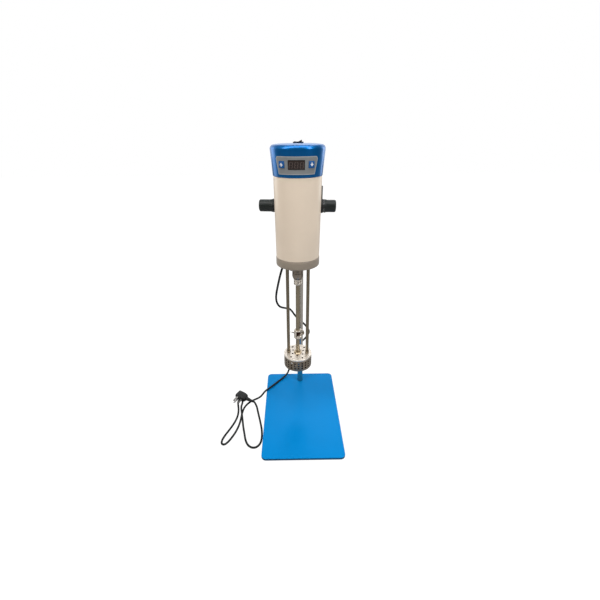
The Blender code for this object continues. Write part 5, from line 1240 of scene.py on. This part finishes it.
BUSH_SEAT_RADIUS = 0.0081
OUTER_HOLE_RADIUS = 0.00275
OUTER_CIRCLE = 0.0272
INNER_HOLE_RADIUS = 0.0023
INNER_CIRCLE = 0.0155
lid_cuts = [
    lathe("bush_seat", disc_outline(BUSH_SEAT_RADIUS, low_z - 0.002, high_z + 0.002), None,
          0.0, 64),
    drills_round("lid_front_drills", OUTER_HOLE_RADIUS, OUTER_CIRCLE, 2, 234, 66),
    drills_round("lid_rear_drills", OUTER_HOLE_RADIUS, OUTER_CIRCLE, 2, 54, 72),
    drills_round("lid_inner_drills", INNER_HOLE_RADIUS, INNER_CIRCLE, 6, 30, 60)]
carve(lid, lid_cuts)
# Painted shade: the lid's hole walls and underside take the dark brown.
mark_faces(lid, "painted_shade", lambda middle, normal: normal.z < 0.6
           and middle.xy.length < STATOR_RADIUS - 0.002)
lid.data.transform(HEAD_MATRIX)
settle(lid, lid_steel, "head", "stator_plate", slot="polished_steel")

_, _, low_z, high_z = turned_place("bush")
lid_top = turned_place("stator_plate")[3]
bush = lathe("bush_visual", [
    (0.0052, high_z), (0.0085, high_z), (0.0105, high_z - 0.0014), (0.0105, lid_top
                                                                    + TOUCH_GAP),
    (0.0078, lid_top + TOUCH_GAP), (0.0078, low_z), (0.0052, low_z)],
    HEAD_MATRIX, 0.0005, closed=True)
settle(bush, bronze, "head", "bush", slot="bronze")
dress("rotor", rotor_shaded_steel)
dress("rotor_screw", screw_steel)

# %% [markdown]
# ## Mains lead
#
# The lead leaves a gland under the collar, swings out behind the rods, passes behind the
# column, and comes down behind the tool onto the plate's rear corner. From there it runs
# over the edge and lies on the bench in two loops, with the plug resting on the cord. The
# hanging stretch is made of two lengths, which meet at a set height above the plate: the
# upper one comes down from the head, and the lower one goes on to the stand and over the
# bench to the plug.

# %% Cord routes
DROP_ROUTE = (
    (-0.0485, 0.0470, 0.4040), (-0.0530, 0.0540, 0.3850), (-0.0580, 0.0660, 0.3600),
    (-0.0630, 0.0800, 0.3320), (-0.0650, 0.0910, 0.3090), (-0.0625, 0.1010, 0.2890),
    (-0.0550, 0.1100, 0.2740), (-0.0430, 0.1180, 0.2660), (-0.0310, 0.1260, 0.2590),
    (-0.0230, 0.1320, 0.2470), (-0.0130, 0.1380, 0.2280), (0.0020, 0.1430, 0.2080),
    (0.0170, 0.1465, 0.1900), (0.0275, 0.1485, 0.1670), (0.0180, 0.1505, 0.1440),
    (0.0020, 0.1515, 0.1240), (-0.0120, 0.1520, 0.0980), (-0.0240, 0.1515, 0.0690),
    (-0.0320, 0.1500, 0.0470), (-0.0335, 0.1490, 0.0370),
)
FLOOR_ROUTE = (
    (-0.0345, 0.1485, 0.0385), (-0.0375, 0.1465, 0.0300), (-0.0430, 0.1420, 0.0232),
    (-0.0510, 0.1340, 0.0196), (-0.0630, 0.1210, 0.0187), (-0.0780, 0.1040, 0.0187),
    (-0.0915, 0.0885, 0.0190), (-0.1010, 0.0790, 0.0191), (-0.1085, 0.0725, 0.0166),
    (-0.1150, 0.0678, 0.0106), (-0.1210, 0.0637, 0.0056), (-0.1285, 0.0592, 0.0033),
    (-0.1375, 0.0540, 0.0030), (-0.1470, 0.0475, 0.0030), (-0.1570, 0.0375, 0.0030),
    (-0.1650, 0.0235, 0.0030), (-0.1688, 0.0070, 0.0030), (-0.1700, -0.0120, 0.0030),
    (-0.1712, -0.0310, 0.0030), (-0.1745, -0.0500, 0.0030), (-0.1805, -0.0690, 0.0030),
    (-0.1890, -0.0870, 0.0030), (-0.1960, -0.0975, 0.0030), (-0.2030, -0.1025, 0.0030),
    (-0.2095, -0.0985, 0.0030), (-0.2095, -0.0870, 0.0030), (-0.2040, -0.0720, 0.0030),
    (-0.1945, -0.0520, 0.0030), (-0.1860, -0.0310, 0.0030), (-0.1810, -0.0090, 0.0030),
    (-0.1815, 0.0130, 0.0030), (-0.1850, 0.0310, 0.0030), (-0.1873, 0.0440, 0.0030),
    (-0.1838, 0.0540, 0.0030), (-0.1768, 0.0540, 0.0030), (-0.1740, 0.0455, 0.0030),
    (-0.1742, 0.0370, 0.0031), (-0.1745, 0.0295, 0.0050), (-0.1740, 0.0205, 0.0082),
    (-0.1722, 0.0085, 0.0098), (-0.1690, -0.0055, 0.0098), (-0.1660, -0.0195, 0.0082),
    (-0.1630, -0.0335, 0.0044), (-0.1594, -0.0500, 0.0030), (-0.1542, -0.0700, 0.0030),
    (-0.1490, -0.0890, 0.0030), (-0.1415, -0.1040, 0.0030), (-0.1300, -0.1125, 0.0030),
    (-0.1180, -0.1110, 0.0030), (-0.1095, -0.1000, 0.0030), (-0.1070, -0.0820, 0.0030),
    (-0.1090, -0.0580, 0.0030), (-0.1145, -0.0330, 0.0030), (-0.1205, -0.0100, 0.0030),
    (-0.1250, 0.0060, 0.0052), (-0.1288, 0.0180, 0.0106),
)
GLAND_X = -0.0375
GLAND_Y = 0.0090
PLUG_PLACE = (-0.1755, 0.0545)
PLUG_TURN = math.radians(-32)
PLUG_LENGTH = 0.032
PLUG_WIDTH = 0.024
PLUG_HEIGHT = 0.019
PLUG_BASE_Z = 0.0062
RELIEF_LENGTH = 0.020
RELIEF_RADIUS = 0.0056
RELIEF_END_RADIUS = 0.0036
SPLIT_HEIGHT = 0.030


def smooth_route(points, spacing):
    """Evenly spaced points on a smooth curve through given points."""
    route = [Vector(point) for point in points]
    route = [route[0] * 2 - route[1]] + route + [route[-1] * 2 - route[-2]]
    fine = []
    for index in range(1, len(route) - 2):
        a, b, c, d = route[index - 1:index + 3]
        for step in range(24):
            t = step / 24
            fine.append(0.5 * (2 * b + (c - a) * t + (2 * a - 5 * b + 4 * c - d) * t ** 2
                               + (3 * b - a - 3 * c + d) * t ** 3))
    fine.append(route[-2])
    total = sum((after - before).length for before, after in zip(fine, fine[1:]))
    count = max(2, round(total / spacing))
    even = [fine[0]]
    walked = 0.0
    for before, after in zip(fine, fine[1:]):
        piece = (after - before).length
        while len(even) < count and walked + piece >= total * len(even) / count:
            share = (total * len(even) / count - walked) / piece
            even.append(before.lerp(after, share))
        walked += piece
    even.append(fine[-1])
    return even


def tube(name, path, radius, sides=24):
    """A round tube along a path, with closed, flat ends."""
    verts = []
    faces = []
    side = None
    count = len(path)
    for index, point in enumerate(path):
        before = path[max(0, index - 1)]
        after = path[min(count - 1, index + 1)]
        along = (after - before).normalized()
        if side is None:
            side = along.orthogonal().normalized()
        side = (side - along * side.dot(along)).normalized()
        other = along.cross(side)
        for step in range(sides):
            angle = math.tau * step / sides
            verts.append(point + (side * math.cos(angle) + other * math.sin(angle)) * radius)
    for index in range(count - 1):
        for step in range(sides):
            after = (step + 1) % sides
            faces.append((index * sides + step, index * sides + after,
                          (index + 1) * sides + after, (index + 1) * sides + step))
    faces.append(tuple(range(sides - 1, -1, -1)))
    faces.append(tuple(range((count - 1) * sides, count * sides)))
    return shade_round(mesh_object(name, verts, faces))


def length_of(path):
    return sum((after - before).length for before, after in zip(path, path[1:]))


# %% Cord lengths
collar_low = turned_place("end_collar")[2]
gland_mouth = collar_low - TOUCH_GAP - 0.006 - 0.008
CORD_STEP = 0.004
HAND_OVER_HEIGHT = 0.212    # above the plate, where the lead's upper length ends
exits = [HEAD_MATRIX @ Vector((GLAND_X, GLAND_Y, height)) for height in
         (collar_low + 0.006, gland_mouth, gland_mouth - CORD_RADIUS)]
drop = exits + [Vector((x, y, PLATE_TOP + height)) for x, y, height in DROP_ROUTE]
split = Vector((drop[-1].x, drop[-1].y, PLATE_TOP + SPLIT_HEIGHT))
drop_path = smooth_route(drop, CORD_STEP) + [split]

plug_matrix = (Matrix.Translation((*PLUG_PLACE, PLUG_BASE_Z + PLUG_HEIGHT / 2))
               @ Matrix.Rotation(PLUG_TURN, 4, "Z"))
relief_far = PLUG_LENGTH / 2 + RELIEF_LENGTH
near_plug = [plug_matrix @ Vector((relief_far + share * CORD_RADIUS, 0.0, 0.0))
             for share in (4, 2, 0.1)]
floor_path = smooth_route([split - Vector((0.0, 0.0, 0.0046))]
                          + [Vector(point) for point in FLOOR_ROUTE] + near_plug, CORD_STEP)

hand_over = min(range(len(drop_path)),
                key=lambda index: abs(drop_path[index].z - PLATE_TOP - HAND_OVER_HEIGHT))
upper_path = drop_path[:hand_over + 1]
lower_path = drop_path[hand_over:] + floor_path
upper = tube("cord_upper", upper_path, CORD_RADIUS)
lower = tube("cord_lower", lower_path, CORD_RADIUS)
for cord in (upper, lower):
    cord.data.materials.append(lead_rubber)
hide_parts("cord_drop")
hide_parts("cord_floor")
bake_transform(upper)
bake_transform(lower)

# %% [markdown]
# ## Gland and plug
#
# The gland is a moulded nut with six flats and a rounded mouth. The plug is a moulded body
# that narrows towards the cord, with a ribbed sleeve that lets the cord bend gently. The
# ribs are rings, again repeated by the lathe's outline.

# %% Gland
body_high = collar_low - TOUCH_GAP


def hex_ripple(angle, radius, height):
    if radius < 0.0070 or height < body_high - 0.006:
        return radius
    flat = math.cos(math.radians(30)) / math.cos((angle % math.radians(60))
                                                 - math.radians(30))
    return radius * flat


gland = lathe("gland_visual", [
    (0.0030, body_high + 0.0005), (0.0082, body_high + 0.0002), (0.0082, body_high - 0.006),
    (0.0072, body_high - 0.0064), (0.0070, body_high - 0.0105), (0.0058, body_high - 0.0130),
    (0.0042, body_high - 0.0139), (0.0028, body_high - 0.0137)],
    HEAD_MATRIX @ Matrix.Translation((GLAND_X, GLAND_Y, 0.0)), 0.0006, closed=True,
    ripple=hex_ripple)
settle(gland, plastic_black, "head", "cord_gland", slot="black_plastic")

# %% Plug
PLUG_SHOULDER = 0.72
sections = []
for share, scale in ((-0.5, 0.94), (-0.46, 1.0), (-0.1, 1.0), (0.15, 0.97), (0.36, 0.88),
                     (0.46, 0.76), (0.5, PLUG_SHOULDER * 0.9)):
    sections.append((PLUG_LENGTH * share, scale))
verts = []
faces = []
corner_steps = 7
for along, scale in sections:
    outline = rounded_rectangle(PLUG_WIDTH * scale, PLUG_HEIGHT * scale, 0.0048 * scale,
                                corner_steps)
    verts += [(along, y, z) for y, z in outline]
count = len(verts) // len(sections)
for layer in range(len(sections) - 1):
    for index in range(count):
        after = (index + 1) % count
        faces.append((layer * count + index, layer * count + after,
                      (layer + 1) * count + after, (layer + 1) * count + index))
faces.append(tuple(range(count)))
faces.append(tuple(range(len(verts) - count, len(verts))))
plug = mesh_object("plug_visual", verts, faces)
RIBS = 6
sleeve_outline = [(0.0, relief_far), (RELIEF_END_RADIUS, relief_far)]
for rib in range(RIBS):
    far = relief_far - 0.0016 - (RELIEF_LENGTH - 0.003) * rib / RIBS
    wide = RELIEF_END_RADIUS + (RELIEF_RADIUS - RELIEF_END_RADIUS) * (rib + 0.5) / RIBS
    sleeve_outline += [(wide, far), (wide - 0.0007, far - 0.0006),
                       (wide - 0.0007, far - 0.0014), (wide + 0.0003, far - 0.0020)]
sleeve_outline += [(RELIEF_RADIUS, PLUG_LENGTH / 2 - 0.001), (RELIEF_RADIUS, 0.004),
                   (0.0, 0.004)]
sleeve = lathe("plug_sleeve", sleeve_outline, Matrix.Rotation(math.radians(90), 4, "Y"),
               0.0002, 48)
carve(plug, [sleeve], "UNION")
plug.data.transform(plug_matrix)
settle(plug, plastic_black, "stand", "plug", slot="black_plastic")
for number in (1, 2, 3):
    dress(f"plug_pin_{number}", pin_steel)

length_of(upper_path)
length_of(lower_path)

# %% [markdown]
# ## Floor, light and camera
#
# The object stands in a plain, pale studio. The camera sees a white floor with a faint
# shadow and a white background. Every other ray meets a different room: it turns
# warmer and darker towards the horizon, which gives steel its brownish bands. A pale
# backdrop behind the part shows mostly in what glances off its sides, and two tall lights
# beside it brighten the same edges. The pieces see a grey floor, so undersides stay dark.

# %% Stage
FLOOR_SIZE = 6.0
FLOOR_DROP = 0.0006         # clear of the feet and the lead
FLOOR_GREY = (0.42, 0.42, 0.42)     # what the pieces get back from the floor
FLOOR_GLOW = 0.90           # share of plain white that the camera sees in the floor
FLOOR_LIFT = 1.14           # brings the open floor up to the background, and leaves shadows
floor = mesh_object("floor", [(-FLOOR_SIZE, -FLOOR_SIZE, -FLOOR_DROP),
                              (FLOOR_SIZE, -FLOOR_SIZE, -FLOOR_DROP),
                              (FLOOR_SIZE, FLOOR_SIZE, -FLOOR_DROP),
                              (-FLOOR_SIZE, FLOOR_SIZE, -FLOOR_DROP)], [(0, 1, 2, 3)])
floor_shade = Shade("floor_white")
floor_shade.set(Base_Color=(*FLOOR_GREY, 1.0), Roughness=0.9)
glow = floor_shade.add("ShaderNodeEmission", {}, {"Color": (1.0, 1.0, 1.0, 1.0),
                                                  "Strength": FLOOR_LIFT})
seen = floor_shade.add("ShaderNodeLightPath", output="Is Camera Ray") * FLOOR_GLOW
mixed = floor_shade.add("ShaderNodeMixShader", {}, {
    0: seen, 1: Value(floor_shade, floor_shade.shader.outputs[0]), 2: glow})
floor_shade.plug(floor_shade.tree.nodes["Material Output"].inputs["Surface"], mixed)
floor.data.materials.append(floor_shade.done())

ROOM_DARK = (0.055, 0.043, 0.030, 1.0)      # what steel reflects from below and around
ROOM_PALE = (0.50, 0.49, 0.475, 1.0)        # and from above
world = bpy.data.worlds.new("studio")
bpy.context.scene.world = world
world.use_nodes = True
sky = world.node_tree
background = sky.nodes["Background"]
background.inputs["Strength"].default_value = 1.0
place_node = sky.nodes.new("ShaderNodeTexCoord")
split_node = sky.nodes.new("ShaderNodeSeparateXYZ")
sky.links.new(place_node.outputs["Generated"], split_node.inputs[0])
ramp = sky.nodes.new("ShaderNodeMapRange")
ramp.inputs["From Min"].default_value = -0.25
ramp.inputs["From Max"].default_value = 0.85
ramp.clamp = True
sky.links.new(split_node.outputs["Z"], ramp.inputs["Value"])
sky_rays = sky.nodes.new("ShaderNodeLightPath")


def sky_blend(share, first, second):
    """Mix two colours of the room; either may be a node's output."""
    node = sky.nodes.new("ShaderNodeMix")
    node.data_type = "RGBA"
    sockets = {socket.identifier: socket for socket in node.inputs}
    sky.links.new(share, sockets["Factor_Float"])
    for key, colour in (("A_Color", first), ("B_Color", second)):
        if isinstance(colour, bpy.types.NodeSocket):
            sky.links.new(colour, sockets[key])
        else:
            sockets[key].default_value = colour
    return {socket.identifier: socket for socket in node.outputs}["Result_Color"]


side_ramp = sky.nodes.new("ShaderNodeMapRange")
side_ramp.inputs["From Min"].default_value = 0.75
side_ramp.inputs["From Max"].default_value = -0.55
side_ramp.inputs["To Min"].default_value = 0.30
sky.links.new(split_node.outputs["X"], side_ramp.inputs["Value"])
both_ramps = sky.nodes.new("ShaderNodeMath")
both_ramps.operation = "MULTIPLY"
sky.links.new(ramp.outputs["Result"], both_ramps.inputs[0])
sky.links.new(side_ramp.outputs["Result"], both_ramps.inputs[1])


def sky_share(socket, low, high):
    """Rises from 0 to 1 as a direction's part goes from low to high."""
    node = sky.nodes.new("ShaderNodeMapRange")
    node.inputs["From Min"].default_value = low
    node.inputs["From Max"].default_value = high
    sky.links.new(socket, node.inputs["Value"])
    return node.outputs["Result"]


def sky_product(first, second):
    node = sky.nodes.new("ShaderNodeMath")
    node.operation = "MULTIPLY"
    sky.links.new(first, node.inputs[0])
    sky.links.new(second, node.inputs[1])
    return node.outputs[0]


BACK_PALE = (1.10, 1.10, 1.12, 1.0)         # the pale backdrop behind the part
behind = sky_product(sky_share(split_node.outputs["Y"], 0.30, 0.65),
                     sky_product(sky_share(split_node.outputs["Z"], 0.60, 0.40),
                                 sky_share(split_node.outputs["Z"], -0.30, -0.10)))
room = sky_blend(behind, sky_blend(both_ramps.outputs[0], ROOM_DARK, ROOM_PALE), BACK_PALE)
sky.links.new(sky_blend(sky_rays.outputs["Is Camera Ray"], room, (1.0, 1.0, 1.0, 1.0)),
              background.inputs["Color"])


def soft_light(name, place, target, width, height, power, colour):
    data = bpy.data.lights.new(name, "AREA")
    data.shape = "RECTANGLE"
    data.size = width
    data.size_y = height
    data.energy = power
    data.color = colour
    lamp = bpy.data.objects.new(name, data)
    bpy.context.scene.collection.objects.link(lamp)
    lamp.location = place
    lamp.visible_camera = False
    lamp.rotation_euler = (Vector(target) - Vector(place)).to_track_quat("-Z", "Y").to_euler()
    return lamp


NEUTRAL = (1.0, 1.0, 1.0)
WARM = (1.0, 0.97, 0.93)
LIGHTS = (
    # name, place, aim, width, height, power in watts, colour
    ("light_top", (0.1, -0.5, 2.4), (0.0, 0.0, 0.2), 2.8, 1.2, 36.0, NEUTRAL),
    ("light_left", (-1.5, -0.9, 1.9), (0.0, 0.0, 0.4), 0.8, 1.4, 15.0, WARM),
    ("light_right", (1.5, -1.2, 1.7), (0.0, 0.0, 0.4), 0.5, 1.4, 18.0, NEUTRAL),
    ("light_back", (0.2, 1.7, 2.2), (0.0, 0.1, 0.3), 1.2, 0.8, 8.0, NEUTRAL),
    ("light_rim_left", (-1.25, 0.80, 0.75), (0.0, 0.0, 0.6), 0.7, 0.9, 3.0, NEUTRAL),
    ("light_rim_right", (1.20, 1.05, 0.75), (0.0, 0.0, 0.6), 0.4, 0.9, 2.2, NEUTRAL),
)
for light in LIGHTS:
    soft_light(*light)

# %% [markdown]
# ## Camera
#
# The camera's place, tilt and lens come from fitting a pinhole camera to the photo's edges.

# %% Camera
CAMERA_PLACE = Vector((-0.02582, -0.66231, 0.69516 + PLATE_TOP))
CAMERA_TILT = math.radians(27.40)
CAMERA_TURN = math.radians(0.54)
CAMERA_ROLL = math.radians(-0.44)
CAMERA_FOCAL_PIXELS = 318.57
PICTURE_PIXELS = 600.0
PICTURE_SHIFT_PIXELS = 6.41
camera_data = bpy.data.cameras.new("camera")
camera_data.sensor_width = 36.0
camera_data.lens = CAMERA_FOCAL_PIXELS / PICTURE_PIXELS * camera_data.sensor_width
camera_data.shift_x = PICTURE_SHIFT_PIXELS / PICTURE_PIXELS
camera_data.clip_start = 0.02
camera_data.clip_end = 60.0
camera = bpy.data.objects.new("camera", camera_data)
bpy.context.scene.collection.objects.link(camera)
forward = Vector((math.sin(CAMERA_TURN) * math.cos(CAMERA_TILT),
                  math.cos(CAMERA_TURN) * math.cos(CAMERA_TILT), -math.sin(CAMERA_TILT)))
right = Vector((math.cos(CAMERA_TURN), -math.sin(CAMERA_TURN), 0.0))
over = right.cross(forward)
rolled_right = right * math.cos(CAMERA_ROLL) + over * math.sin(CAMERA_ROLL)
rolled_up = over * math.cos(CAMERA_ROLL) - right * math.sin(CAMERA_ROLL)
camera.matrix_world = Matrix.Translation(CAMERA_PLACE) @ Matrix((
    (rolled_right.x, rolled_up.x, -forward.x), (rolled_right.y, rolled_up.y, -forward.y),
    (rolled_right.z, rolled_up.z, -forward.z))).to_4x4()
bpy.context.scene.camera = camera
bpy.context.scene.view_settings.view_transform = "Standard"

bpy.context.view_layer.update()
